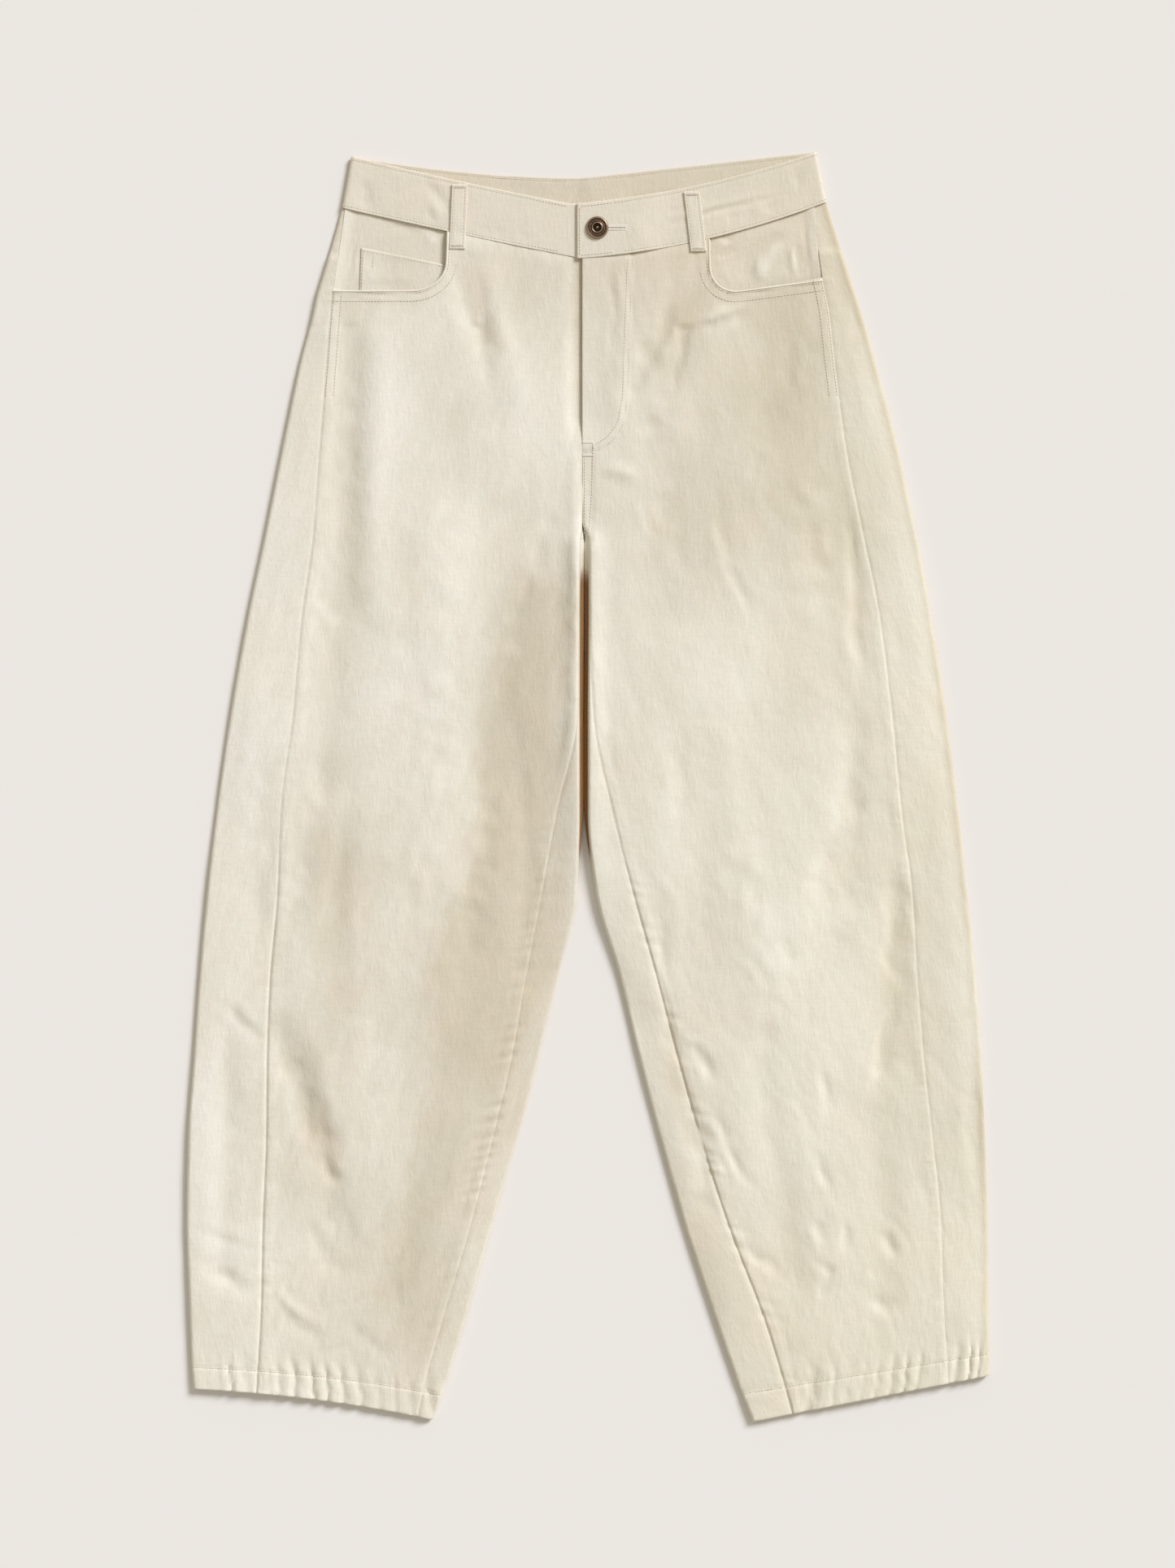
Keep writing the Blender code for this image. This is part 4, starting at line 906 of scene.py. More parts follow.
for leg, name in ((right_leg, "right"), (left_leg, "left")):
    row = leg_rows(leg)
    across = front_across(leg, row)
    points, outward = leg.surface(row, across, 0 * across)
    cloth = CLOTH + (HEM_CLOTH - CLOTH) * ease((row - leg.hem + HEM_DEPTH + 1.5) / 1.5)
    turned = rounded(leg.hem - row + 0 * across, 1.1)
    if leg.side > 0:
        folded = rounded(np.where(row < CROTCH_STARTS, across + 0.1, 9.0), 1.1)
        turned = np.minimum(turned, folded)
    weave = np.stack([across * leg.side, points[..., 1]], axis=2)
    # Painted shade and wear of the front panel, with the painted shade between the legs.
    worn_and_shaded = leg.between_legs(row, across, 0 * across, leg.wear(across, points[..., 1]))
    front = wall("twill_front_" + name, two_faces(points, outward, cloth, turned), weave, worn_and_shaded)
    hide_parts("front_leg_" + name)
    mouth = mouth_path(leg.mouth, 0.0, 250.0)
    reach = (leg.mouth.side_down - leg.mouth.down) / (leg.at("side_seam", leg.top) - mouth[-2][0])
    mouth[-1][1] = leg.mouth.down + reach * (250.0 - mouth[-2][0])
    outline = np.concatenate([mouth, [[250.0, 0.0]]]) * [leg.side, 1.0]
    carve(front, [prism("mouth_" + name, outline, 2.0, 14.0)])

    across, below = back_across(leg, row)
    points, outward = leg.surface(row, across, below)
    turned = rounded(leg.hem - row + 0 * across, 1.1)
    edge = np.where(across > 60.0 + leg.at("inner", row), leg.at("outer", row), leg.at("inner", row))
    unfolded = np.where(below > 0, across, 2 * edge - across)
    weave = np.stack([unfolded * leg.side, points[..., 1]], axis=2)
    # The same painted shade and wear for the back panel.
    worn_and_shaded = leg.wear(across + 40.0 * (below > 0), points[..., 1])
    worn_and_shaded = leg.between_legs(row, across, below, worn_and_shaded)
    back = wall("twill_back_" + name, two_faces(points, outward, cloth, turned), weave, worn_and_shaded)
    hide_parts("back_leg_" + name)

# Pocket facings and coin pocket: the hip pieces that show inside the pocket mouths, one layer of
# the same twill sewn to the side seam and under the front. The right one carries a small coin
# pocket, its top edge turned and stitched.
FACING_CLOTH = 1.0
FACING_HEIGHT = 2.5
FACING_BLEND = 10.0
UPWARD = np.array([0.0, 0.0, 1.0])

RIGHT_FACING_CREASES = [Crease(*row) for row in (
    (3, -0.5, ((158, 68), (146, 57), (127, 64))),
    (6, 0.8, ((127, 62), (114, 74))),
    (2.2, 0.35, ((180, 60), (187, 105))),
    (1.6, -0.35, ((177, 60), (184, 105))),
    (2.2, 0.35, ((174, 60), (181, 105))),
)]
LEFT_FACING_CREASES = [Crease(*row) for row in (
    (2.4, -0.9, ((99, 83), (119, 73))),
    (3, 0.7, ((98, 77), (117, 68))),
    (5, -1.3, ((124, 104), (132, 84), (149, 69), (162, 58))),
    (5, 1.5, ((136, 104), (142, 84), (155, 70))),
    (2.4, -1.7, ((168, 70), (171, 86), (171, 99))),
    (3, 0.8, ((164, 72), (166, 98))),
    (3, -0.6, ((107, 64), (118, 69))),
    (2, 0.35, ((178, 50), (181, 95))),
    (1.6, -0.35, ((175, 50), (178, 95))),
)]


def facing_height(leg, row, across, down, creases):
    """Level under the front panel and between, rising to the side seam, with its creases fading
    out towards the mouth's edge, under which the piece runs flat."""
    covered = row >= leg.mouth.side_down
    from_seam = ease((leg.at("side_seam", row) - across) / FACING_BLEND)
    height = leg.at("edge", row) + (FACING_HEIGHT - leg.at("edge", row)) * from_seam
    height = np.where(covered, FACING_HEIGHT, height)
    relief = 0.25 * wander(across / 13.0, down / 16.0, leg.seed + 31) + 0.2
    relief = relief + creased(creases, across, down)
    clear = ease((path_distance(leg.edge_path, across, down) - 2.0) / 8.0)
    inside = (across > leg.mouth.across) & (down < leg.mouth.down)
    height = height + np.where(inside, np.maximum(relief, -1.1) * clear, 0.0)
    return np.maximum(height, 1.2 + FACING_CLOTH + 0.1)


for leg, name, creases in (
    (right_leg, "right", RIGHT_FACING_CREASES),
    (left_leg, "left", LEFT_FACING_CREASES),
):
    last = leg.mouth.side_down + POCKET_DEPTH
    near_top = leg.top + SEAM_GAP + np.array([0.0, 0.8, 1.7])
    row = np.concatenate([near_top, np.arange(leg.top + 3.5, last, 1.5)])[:, None]
    seam = leg.at("side_seam", row) - SEAM_GAP / 2
    start = np.where(row >= leg.mouth.side_down, seam - 3.0, seam)
    steps = np.concatenate([np.array([0.0, 0.3, 0.8, 1.5, 2.4, 3.5]) / 110.0, np.linspace(0.045, 1, 66)])
    across = start + (leg.mouth.across - POCKET_UNDER - start) * steps
    down = leg.line(row, across, False)
    height = facing_height(leg, row, across, down, creases)
    outer = np.stack([leg.side * across, down, height], axis=2)
    weave = np.stack([across * leg.side, down], axis=2)
    # Painted shade: darker where the facing lies lower under the pocket mouth, lighter where it rises.
    worn_and_shaded = 0.4 + 0.2 * (height - FACING_HEIGHT)
    facing = wall("facing_" + name, (outer, outer - [0, 0, FACING_CLOTH]), weave, worn_and_shaded)
    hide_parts("pocket_facing_" + name)

COIN_WIDTH = 77.0
COIN_DEPTH = 42.0
COIN = {"top": 75.0, "slant": 16.0, "outer": 173.5, "inner": 96.0, "bottom": 121.0}


def coin_across(part, fall):
    """Across of the coin pocket: straight sides that come 2 mm in on the way down."""
    return COIN["outer"] + 2.0 * fall + (COIN["inner"] - COIN["outer"] - 2.0 * fall) * part


def coin_down(part, fall):
    """Down of the coin pocket: a top edge that slants, and a level bottom."""
    top = COIN["top"] + COIN["slant"] * part
    return top + (COIN["bottom"] - top) * fall


part = np.concatenate([[0.0, 0.006, 0.014, 0.03], np.linspace(0.05, 1, 40)])[None, :]
fall = np.concatenate([[0.0, 0.015, 0.04, 0.08], np.linspace(0.12, 1, 24)])[:, None]
across = coin_across(part, fall)
down = coin_down(part, fall)
near_mouth = 1 - ease((path_distance(right_leg.edge_path, across, down) - 2.0) / 8.0)
hidden = (across < RIGHT_MOUTH.across) | (down > RIGHT_MOUTH.down)
base = facing_height(right_leg, right_leg.row_of(across, down), across, down, RIGHT_FACING_CREASES)
lift = 0.12 + 0.3 * bell(fall * 40.0 / 4.0) + 0.25 * wander(across / 11.0, down / 9.0, 5) ** 2
height = base + FACING_CLOTH + lift * np.where(hidden, 0.0, 1 - near_mouth) + 0.1
turned = np.minimum(rounded(part * COIN_WIDTH, 0.9), rounded(fall * COIN_DEPTH, 0.9))
faces = two_faces(np.stack([-across, down, height], axis=2), UPWARD, FACING_CLOTH, turned)
weave = np.stack([-across, down], axis=2)
coin_pocket = wall("coin_pocket_twill", faces, weave, 0.45 + 0.1 * np.cos(across / 9.0))
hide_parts("coin_pocket")

# Waistband: one doubled strip of twill, turned at its upper edge, stitched along both edges. It
# runs from the underlap on the right, round the back, to the tab with its keyhole on the left.
BAND_CLOTH = 2.0
BAND_HEIGHT = 4.4
BAND_EDGE_HEIGHT = 5.4
BAND_DEPTH = 41.0
UNDERLAP = 40.0
UNDERLAP_HEIGHT = 4.2
TAB_HEIGHT = 6.6
TAB_OVERHANG = 4.2
TAB_SLOPE_ENDS = 75.0

BandEdge = namedtuple("BandEdge", "down outer drop bow back_drop back_bow")
BAND_LOWER = {
    -1: BandEdge(44.2, 188.8, 39.8, 1.0, 17.9, 0.0),
    1: BandEdge(39.7, 192.0, 44.3, 7.4, 22.3, 0.0),
}
BAND_UPPER = {
    -1: BandEdge(3.5, 181.5, 39.0, 1.2, 16.9, 4.0),
    1: BandEdge(0.0, 184.0, 40.5, 5.5, 20.4, 0.0),
}
BAND_CREASES = {
    -1: [Crease(*row) for row in (
        (6, -0.9, ((172, 20), (170, 46))),
        (4, -1.0, ((127, 19), (116, 29), (108, 42), (107, 58))),
        (4, 0.9, ((116, 33), (111, 56))),
        (2.5, -0.9, ((121, 46), (115, 58))),
        (3, -0.35, ((77, 56), (76, 66))),
        (3, -0.35, ((66, 57), (66, 69))),
        (3, -0.3, ((57, 60), (58, 72))),
        (3, -0.35, ((47, 61), (47, 74))),
        (8, 0.4, ((140, 30), (135, 50))),
    )],
    1: [Crease(*row) for row in (
        (2.2, -0.8, ((62, 59), (76, 55), (92, 52), (111, 47), (131, 40), (158, 32))),
        (2.6, 0.7, ((62, 55), (76, 51), (92, 48), (111, 43), (131, 36), (158, 28))),
        (2.5, -0.5, ((113, 48), (117, 58))),
        (4, -0.9, ((148, 37), (150, 48))),
        (4, 0.8, ((138, 40), (140, 52))),
        (3, -0.6, ((166, 9), (169, 32))),
        (2.5, -0.4, ((70, 44), (71, 50))),
        (6, 0.4, ((40, 50), (42, 74))),
    )],
}


def band_side(side, share):
    """How far across the band's side fold lies."""
    return BAND_LOWER[side].outer + (BAND_UPPER[side].outer - BAND_LOWER[side].outer) * share


def band_line(side, across, share, behind):
    """How far down the band's point lies, share 0 at its lower edge and 1 at its upper: each edge
    drops evenly from the side to the centre and bows as a parabola."""
    outer = band_side(side, share)
    along = np.minimum((outer - across) / outer, 1.0)
    low, high = (
        edge[side].down
        + (edge[side].back_drop if behind else edge[side].drop) * along
        + (edge[side].back_bow if behind else edge[side].bow) * (4 * along * (1 - along))
        for edge in (BAND_LOWER, BAND_UPPER)
    )
    return low - SEAM_GAP / 2 + (high - low + SEAM_GAP / 2) * share


def band_relief(side, across, down, share, creases):
    """Creases, a soft swell, and the dents and puckers of the stitching along both edges."""
    relief = 0.3 * wander(across / 21.0 + 40.0 * side, down / 17.0, 71)
    relief = relief + creased(creases, across, down)
    from_edge = np.minimum(share, 1 - share) * BAND_DEPTH
    relief = relief - 0.3 * bell((from_edge - 2.4) / 0.9)
    seam = bell(share * BAND_DEPTH / 7.0) + 0.5 * bell((1 - share) * BAND_DEPTH / 5.0)
    return relief + 0.17 * seam * pucker(across + 90.0 * side, 9.0, 75)


def band_height(side, across):
    """Height of the band's top face: level, the tab lying over the underlap."""
    if side > 0:
        lap = 1 - ease((across - UNDERLAP - 3.0) / (TAB_SLOPE_ENDS - UNDERLAP - 3.0))
        return BAND_HEIGHT + (TAB_HEIGHT - BAND_HEIGHT) * lap
    return UNDERLAP_HEIGHT + (BAND_HEIGHT - UNDERLAP_HEIGHT) * ease((across - 8.0) / 14.0)


def band_top(side, across, down, share):
    """Height of the front band with its creases, which fade out over the underlap and tab."""
    fade = ease((across - 22.0) / 25.0)
    relief = band_relief(side, across, down, share, BAND_CREASES[side])
    return band_height(side, across) + relief * fade + 0.3 * fade


def band_stretch(side, inset, share, behind):
    """One stretch of the band, front or back: a strip turned over an ellipse at the side."""
    outer = band_side(side, share)
    inset = inset[None, :] * np.ones_like(share)
    place = outer - inset
    lift = np.sin(np.arccos(np.clip(1 - inset / TURN, 0, 1)))
    lean = np.sqrt(1 - lift**2)
    half = BAND_EDGE_HEIGHT / 2
    down = band_line(side, place, share, behind)
    if behind:
        crease = np.clip(0.3 + band_relief(-side, place, down, share, ()), 0.0, 0.8)
        height = half * (1 - lift) + crease * ease((lift - 0.8) / 0.2)
    else:
        near = 1 - ease(inset / EDGE_BLEND)
        flat = band_top(side, place, down, share)
        height = half + (flat + (BAND_EDGE_HEIGHT - flat) * near * 0.6 - half) * lift
    points = np.stack([side * place, down, height], axis=2)
    outward = np.stack([side * lean, 0 * lean, (-1 if behind else 1) * lift], axis=2)
    walk = np.where(behind, 2 * outer - place, place)
    return points, outward, np.stack([side * walk, down], axis=2)


def crowded(near, count, first=0.045):
    """Shares from 0 to 1: even in the middle, and close together near both turned edges."""
    near = np.array(near)
    return np.concatenate([near, np.linspace(first, 1 - first, count), 1 - near[::-1]])


def flat_stretch(across, share, height):
    """An end of the band that lies level, on the left side of the centre."""
    across = across[None, :] * np.ones_like(share)
    down = band_line(1, across, share, False)
    points = np.stack([across, down, height + 0 * across], axis=2)
    return points, UPWARD + 0 * points, np.stack([across, down], axis=2)


share = crowded([0.0, 0.007, 0.016, 0.028], 24)[:, None]
fold_insets = turned_in(QUARTER_TURN * np.linspace(0, 1, 7))
front_insets = np.concatenate([fold_insets, np.arange(5.6, 174.0, 2.6)])
back_insets = np.concatenate([fold_insets, np.arange(6.0, 180.0, 3.4)])
tab_end = np.array([1.1, 0.6, 0.25, 0.0]) - TAB_OVERHANG
tab_across = np.concatenate([np.arange(19.0, 1.6 - TAB_OVERHANG, -1.8), tab_end])
parts = [
    flat_stretch(np.arange(UNDERLAP, -0.5, -2.5), share, UNDERLAP_HEIGHT),
    band_stretch(-1, front_insets[::-1], share, False),
    band_stretch(-1, back_insets[1:], share, True),
    band_stretch(1, back_insets[:0:-1], share, True),
    band_stretch(1, front_insets[:-5], share, False),
    flat_stretch(tab_across, share, TAB_HEIGHT),
]
points, outward, weave = (np.concatenate([stretch[k] for stretch in parts], axis=1) for k in range(3))
outward = outward / np.linalg.norm(outward, axis=2, keepdims=True)
turned = np.minimum(rounded(share * BAND_DEPTH, 0.5), rounded((1 - share) * BAND_DEPTH, 0.9))
turned = turned + 0 * points[..., 0]
tab = turned[:, -len(tab_across) :]
np.minimum(tab, rounded(tab_across[None, :] + TAB_OVERHANG, 1.2), out=tab)
# Painted shade: the band darker where it lies lower, most of all on its back half underneath.
worn_and_shaded = 0.25 + 0.24 * ease(points[..., 2] / 4.0)
band = wall("waistband_twill", two_faces(points, outward, BAND_CLOTH, turned), weave, worn_and_shaded)
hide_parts("waistband")

BUTTON_ACROSS = 11.8
BUTTON_DOWN = 60.0
EYE_RADIUS = 3.6
SLIT_LENGTH = 22.0
around = np.linspace(0.13, 2 * np.pi - 0.13, 24)
eye = [BUTTON_ACROSS, BUTTON_DOWN] + EYE_RADIUS * np.stack([np.cos(around), np.sin(around)], axis=1)
slit_end = BUTTON_ACROSS + SLIT_LENGTH
keyhole = np.concatenate([eye, [[slit_end, BUTTON_DOWN - 0.45], [slit_end, BUTTON_DOWN + 0.45]]])
carve(band, [prism("keyhole", keyhole, TAB_HEIGHT - BAND_CLOTH - 0.6, TAB_HEIGHT + 0.8)])

# Belt loops: two folded strips of twill, stitched along both long edges and tacked across both
# ends, standing a little clear of the band that they cross.
LOOP_WIDTH = 12.6
LOOP_CLOTH = 1.3
LOOP_LENGTH = 51.0
LOOP_CLEAR = 0.1
LOOP_ROW = 4.4
BeltLoop = namedtuple("BeltLoop", "name side leg across_top down_top across_bottom down_bottom")
LOOPS = (
    BeltLoop("right", -1, right_leg, 96.0, 25.5, 98.2, 76.8),
    BeltLoop("left", 1, left_leg, 86.0, 31.5, 91.5, 78.7),
)


def loop_place(loop, part, offset):
    """Across and down of a place on the loop: along it by part, and beside its middle line."""
    across = loop.across_top + (loop.across_bottom - loop.across_top) * part + offset
    return across, loop.down_top + (loop.down_bottom - loop.down_top) * part + 0 * offset


def loop_height(loop, part, offset):
    """The loop's upper face: the band or panel below it, eased where it steps off the band,
    humped along the middle and thicker at its turned ends."""
    across, down = loop_place(loop, part, offset)
    seam_down = band_line(loop.side, across, 0.0, False)
    near_seam = ease((down - seam_down + 3.0) / 12.0)
    middle = loop.leg.values["middle"]
    panel = middle[0] + (middle[1] - middle[0]) * near_seam
    below = np.maximum(band_height(loop.side, across), panel) + 0.25
    ends = bell(part * LOOP_LENGTH / 3.5) + bell((1 - part) * LOOP_LENGTH / 3.5)
    hump = 0.35 * np.sin(np.pi * part) + 0.12 * wander(part * 5.0, offset / 8.0, 91)
    groove = 0.25 * bell((abs(offset) - LOOP_ROW) / 0.7)
    return below + LOOP_CLEAR + LOOP_CLOTH + 0.25 * ends + hump - groove


for loop in LOOPS:
    part = crowded([0.0, 0.006, 0.014, 0.026], 30)[:, None]
    offset = LOOP_WIDTH * (crowded([0.0, 0.012, 0.03, 0.055], 15, 0.09)[None, :] - 0.5)
    across, down = loop_place(loop, part, offset)
    height = loop_height(loop, part, offset)
    edge = np.minimum(LOOP_WIDTH / 2 - abs(offset), np.minimum(part, 1 - part) * LOOP_LENGTH)
    turned = rounded(edge, 0.9)
    faces = two_faces(np.stack([loop.side * across, down, height], axis=2), UPWARD, LOOP_CLOTH, turned)
    weave = np.stack([loop.side * across, down], axis=2)
    wall("loop_" + loop.name, faces, weave, 0.55)
    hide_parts("belt_loop_" + loop.name)

# Button: a turned tack button of aged bronze. Its cap has a rolled rim, a sunk ring of small
# beads, a bright inner collar and a nub in the hollow, and its post goes through the keyhole.
BUTTON_REST = TAB_HEIGHT + 0.3
BUTTON_FOOT = UNDERLAP_HEIGHT + 0.3
CAP_PROFILE = (
    (0.0, 1.7), (0.5, 1.65), (0.9, 1.45), (1.2, 0.9), (1.5, 0.5), (2.8, 0.45),
    (3.1, 0.8), (3.3, 1.9), (3.5, 2.35), (3.8, 2.5), (4.15, 2.4), (4.35, 2.1),
    (4.6, 1.95), (6.9, 1.75), (7.3, 1.85), (7.6, 2.0), (8.1, 1.85), (8.55, 1.3),
    (8.8, 0.7), (8.7, 0.2), (8.4, 0.0), (2.6, 0.0),
)
BUTTON_PROFILE = [(radius, BUTTON_REST + height) for radius, height in CAP_PROFILE]
BUTTON_PROFILE += [(2.6, BUTTON_FOOT), (0.0, BUTTON_FOOT)]


def turned_solid(profile, segments):
    """Points and faces of a profile of radius and height carried round an upright axis, with one
    point at each pole."""
    radius, height = np.array(profile[1:-1]).T[..., None]
    angle = np.linspace(0, 2 * np.pi, segments, endpoint=False)
    ring = np.stack([radius * np.cos(angle), radius * np.sin(angle), height + 0 * angle], axis=2)
    points = np.concatenate([ring.reshape(-1, 3), [[0, 0, profile[0][1]], [0, 0, profile[-1][1]]]])
    index = np.arange(len(radius) * segments).reshape(len(radius), segments)
    after = np.roll(index, -1, axis=1)
    sides = np.stack([index[:-1], index[1:], after[1:], after[:-1]], axis=2).reshape(-1, 4)
    top, bottom = len(points) - 2, len(points) - 1
    cap = np.stack([index[0], after[0], np.full(segments, top)], axis=1)
    foot = np.stack([after[-1], index[-1], np.full(segments, bottom)], axis=1)
    return points, sides.tolist() + cap.tolist() + foot.tolist()


bronze = Finish("aged_bronze", Metallic=1.0)
place = bronze.node("ShaderNodeTexCoord", {}, {}, 3)
worn_and_shaded = bronze.ramp(bronze.noise(place, 900.0, 3.0, 0.6), (0.35, grey(0.0)), (0.7, grey(1.0)))
pointed = bronze.node("ShaderNodeNewGeometry", {}, {}, 7)
edges = bronze.ramp(pointed, (0.5, grey(0.0)), (0.56, grey(1.0)))
metal = bronze.mix(worn_and_shaded * 0.6, (0.16, 0.097, 0.06, 1), (0.075, 0.047, 0.033, 1))
metal = tinted(bronze, metal, grey(0.2), bronze.ramp(pointed, (0.42, grey(1.0)), (0.495, grey(0.0))))
bronze.paint("Base Color", bronze.mix(edges, metal, (0.46, 0.34, 0.24, 1)))
bronze.paint("Roughness", worn_and_shaded * 0.2 + 0.3)
bronze.emboss(bronze.noise(place, 2600.0, 2.0), 0.3, 0.0001)

points, faces = turned_solid(BUTTON_PROFILE, 72)
bead, bead_faces = turned_solid(((0.0, 0.32), (0.22, 0.22), (0.3, 0.0), (0.0, -0.1)), 8)
angle = np.linspace(0, 2 * np.pi, 40, endpoint=False)
ring = np.stack([5.75 * np.cos(angle), 5.75 * np.sin(angle), 0 * angle + BUTTON_REST + 1.83], axis=1)
beads = (ring[:, None, :] + bead[None, :, :] * [1.0, 1.0, 0.9]).reshape(-1, 3)
for k in range(len(angle)):
    first = len(points) + k * len(bead)
    faces += [[first + corner for corner in face] for face in bead_faces]
points = np.concatenate([points, beads])
points[:, 1] = -points[:, 1]
points = placed(points + [BUTTON_ACROSS, BUTTON_DOWN, 0.0])
mesh = bpy.data.meshes.new("bronze_button")
mesh.from_pydata(points.tolist(), [], faces)
button = shown("bronze_button", mesh, bronze.material)
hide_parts("button")

# Stitching: cotton thread a little darker than the cloth, in rows along every edge and seam that
# the garment has topstitched, with whipped thread round the buttonhole and tacks at the ends.
STITCH_PITCH = 2.5
STITCH_LENGTH = 1.9
STITCH_RADIUS = 0.33
ROW_INSET = 2.4


def thread_finish(name, dark, light):
    """Matt cotton thread whose plies are darker and lighter."""
    thread = Finish(name, Roughness=0.7, Sheen_Weight=0.2, Sheen_Roughness=0.5, Specular_IOR_Level=0.3)
    place = thread.node("ShaderNodeTexCoord", {}, {}, 3)
    ply = thread.ramp(thread.noise(place, 2200.0, 1.0), (0.35, grey(0.0)), (0.65, grey(1.0)))
    thread.paint("Base Color", thread.mix(ply, dark, light))
    return thread.material


seam_thread = thread_finish("cotton_thread", (0.60, 0.535, 0.42, 1), (0.73, 0.67, 0.55, 1))
tack_thread = thread_finish("tack_thread", (0.76, 0.70, 0.59, 1), (0.88, 0.83, 0.73, 1))


def stitches(points, outward, pitch=STITCH_PITCH, length=STITCH_LENGTH, radius=STITCH_RADIUS, across=False):
    """Points and faces of a row: a six-sided bead of thread at each pitch along the path, bowed
    so that both its ends dip into the cloth. With "across" each one lies across the path."""
    walk = np.concatenate([[0.0], np.cumsum(np.linalg.norm(np.diff(points, axis=0), axis=1))])
    at = np.arange(pitch / 2, walk[-1], pitch)
    centre = along_path(at, walk, points)
    normal = along_path(at, walk, outward)
    run = along_path(at + 0.5, walk, points) - along_path(at - 0.5, walk, points)
    run /= np.linalg.norm(run, axis=1, keepdims=True)
    beside = np.cross(normal, run)
    beside /= np.linalg.norm(beside, axis=1, keepdims=True)
    if across:
        run, beside = beside, -run
    normal = np.cross(run, beside)
    turn = np.linspace(0, 2 * np.pi, 6, endpoint=False)
    ends = np.array([-0.5, -0.36, 0.36, 0.5]) * length
    thick = np.array([0.25, 1.0, 1.0, 0.25]) * radius
    dip = np.array([-0.25, 0.12, 0.12, -0.25])
    ring_beside = thick[:, None] * np.cos(turn)
    ring_normal = thick[:, None] * np.sin(turn) + dip[:, None]
    bead = (
        centre[:, None, None, :]
        + ends[None, :, None, None] * run[:, None, None, :]
        + ring_beside[None, :, :, None] * beside[:, None, None, :]
        + ring_normal[None, :, :, None] * normal[:, None, None, :]
    )
    index = np.arange(24).reshape(4, 6)
    after = np.roll(index, -1, axis=1)
    sides = np.stack([index[:-1], after[:-1], after[1:], index[1:]], axis=2).reshape(-1, 4)
    caps = [[0, 5, 4, 3], [0, 3, 2, 1], [18, 19, 20, 21], [18, 21, 22, 23]]
    faces = np.concatenate([sides, caps])
    faces = (faces[None] + 24 * np.arange(len(at))[:, None, None]).reshape(-1, 4)
    return bead.reshape(-1, 3), faces


def sewn(name, rows, thread=seam_thread):
    """One piece of thread from many rows of stitches, kept above the table."""
    points, faces, count = [], [], 0
    for row_points, row_faces in rows:
        points.append(row_points)
        faces.append(row_faces + count)
        count += len(row_points)
    points = placed(np.concatenate(points))
    points[:, 2] = np.maximum(points[:, 2], 0.00002)
    mesh = bpy.data.meshes.new(name)
    mesh.from_pydata(points.tolist(), [], np.concatenate(faces).tolist())
    return shown(name, mesh, thread)


def level(count):
    """Straight up, once for each point of a row."""
    return np.tile(UPWARD, (count, 1))


def along_path(at, walk, values):
    """Three columns of values between the places of a walk."""
    return np.stack([np.interp(at, walk, values[:, k]) for k in range(3)], axis=1)


def beside_path(path, distance):
    """A path moved sideways by a distance, to the cloth's side of a pocket mouth."""
    run = np.gradient(path, axis=0)
    run /= np.linalg.norm(run, axis=1, keepdims=True)
    return path + distance * np.stack([-run[:, 1], run[:, 0]], axis=1)


def even_path(path, step=1.2):
    """The same path with places a step apart, its corners rounded off."""
    path = np.asarray(path, float)
    walk = np.concatenate([[0.0], np.cumsum(np.hypot(*np.diff(path, axis=0).T))])
    at = np.arange(0.0, walk[-1], step)
    dense = np.stack([np.interp(at, walk, path[:, k]) for k in range(2)], axis=1)
    for _ in range(14):
        dense[1:-1] = (dense[:-2] + 2 * dense[1:-1] + dense[2:]) / 4
    return dense


FLY_ROWS = (
    tuple(zip(FLY_OUTER_ACROSS, FLY_OUTER_DOWN))[:-1],
    ((35.9, 84), (34.6, 113), (32.9, 160), (32, 191), (28.4, 212.5), (20, 224.5), (7, 232)),
)
CROTCH_ROWS = (((8.4, 238), (8.0, 262), (6.6, 284), (4.6, 302)), ((2.0, 238), (2.0, 268), (2.0, 300)))
TACKS = (((0.6, 228.5), (9.4, 228.5)), ((0.6, 238.5), (9.4, 238.5)), ((9.2, 229.5), (9.2, 238.0)))


def rolled_edge(name, points, outward, radius):
    """A closed tube along a path: the cloth's edge rolled under and sewn down."""
    run = np.gradient(points, axis=0)
    run /= np.linalg.norm(run, axis=1, keepdims=True)
    beside = np.cross(outward, run)
    beside /= np.linalg.norm(beside, axis=1, keepdims=True)
    above = np.cross(run, beside)
    turn = np.linspace(0, 2 * np.pi, 10, endpoint=False)[None, :, None]
    uneven = radius * (1 + 0.12 * wander(np.arange(len(points)) / 5.0, np.zeros(len(points)), 17))
    ring = uneven[:, None, None] * (np.cos(turn) * beside[:, None] + np.sin(turn) * above[:, None])
    tube = placed((points[:, None] + ring).reshape(-1, 3))
    index = np.arange(len(tube)).reshape(len(points), 10)
    after = np.roll(index, -1, axis=1)
    sides = np.stack([index[:-1], after[:-1], after[1:], index[1:]], axis=2).reshape(-1, 4)
    mesh = bpy.data.meshes.new(name)
    mesh.from_pydata(tube.tolist(), [], sides.tolist() + [index[0, ::-1].tolist(), index[-1].tolist()])
    mesh.uv_layers.new(name="weave").data.foreach_set("uv", np.zeros(2 * len(mesh.loops)))
    mesh.uv_layers.new(name="wear").data.foreach_set("uv", np.full(2 * len(mesh.loops), 0.7))
    return shown(name, mesh, twill)


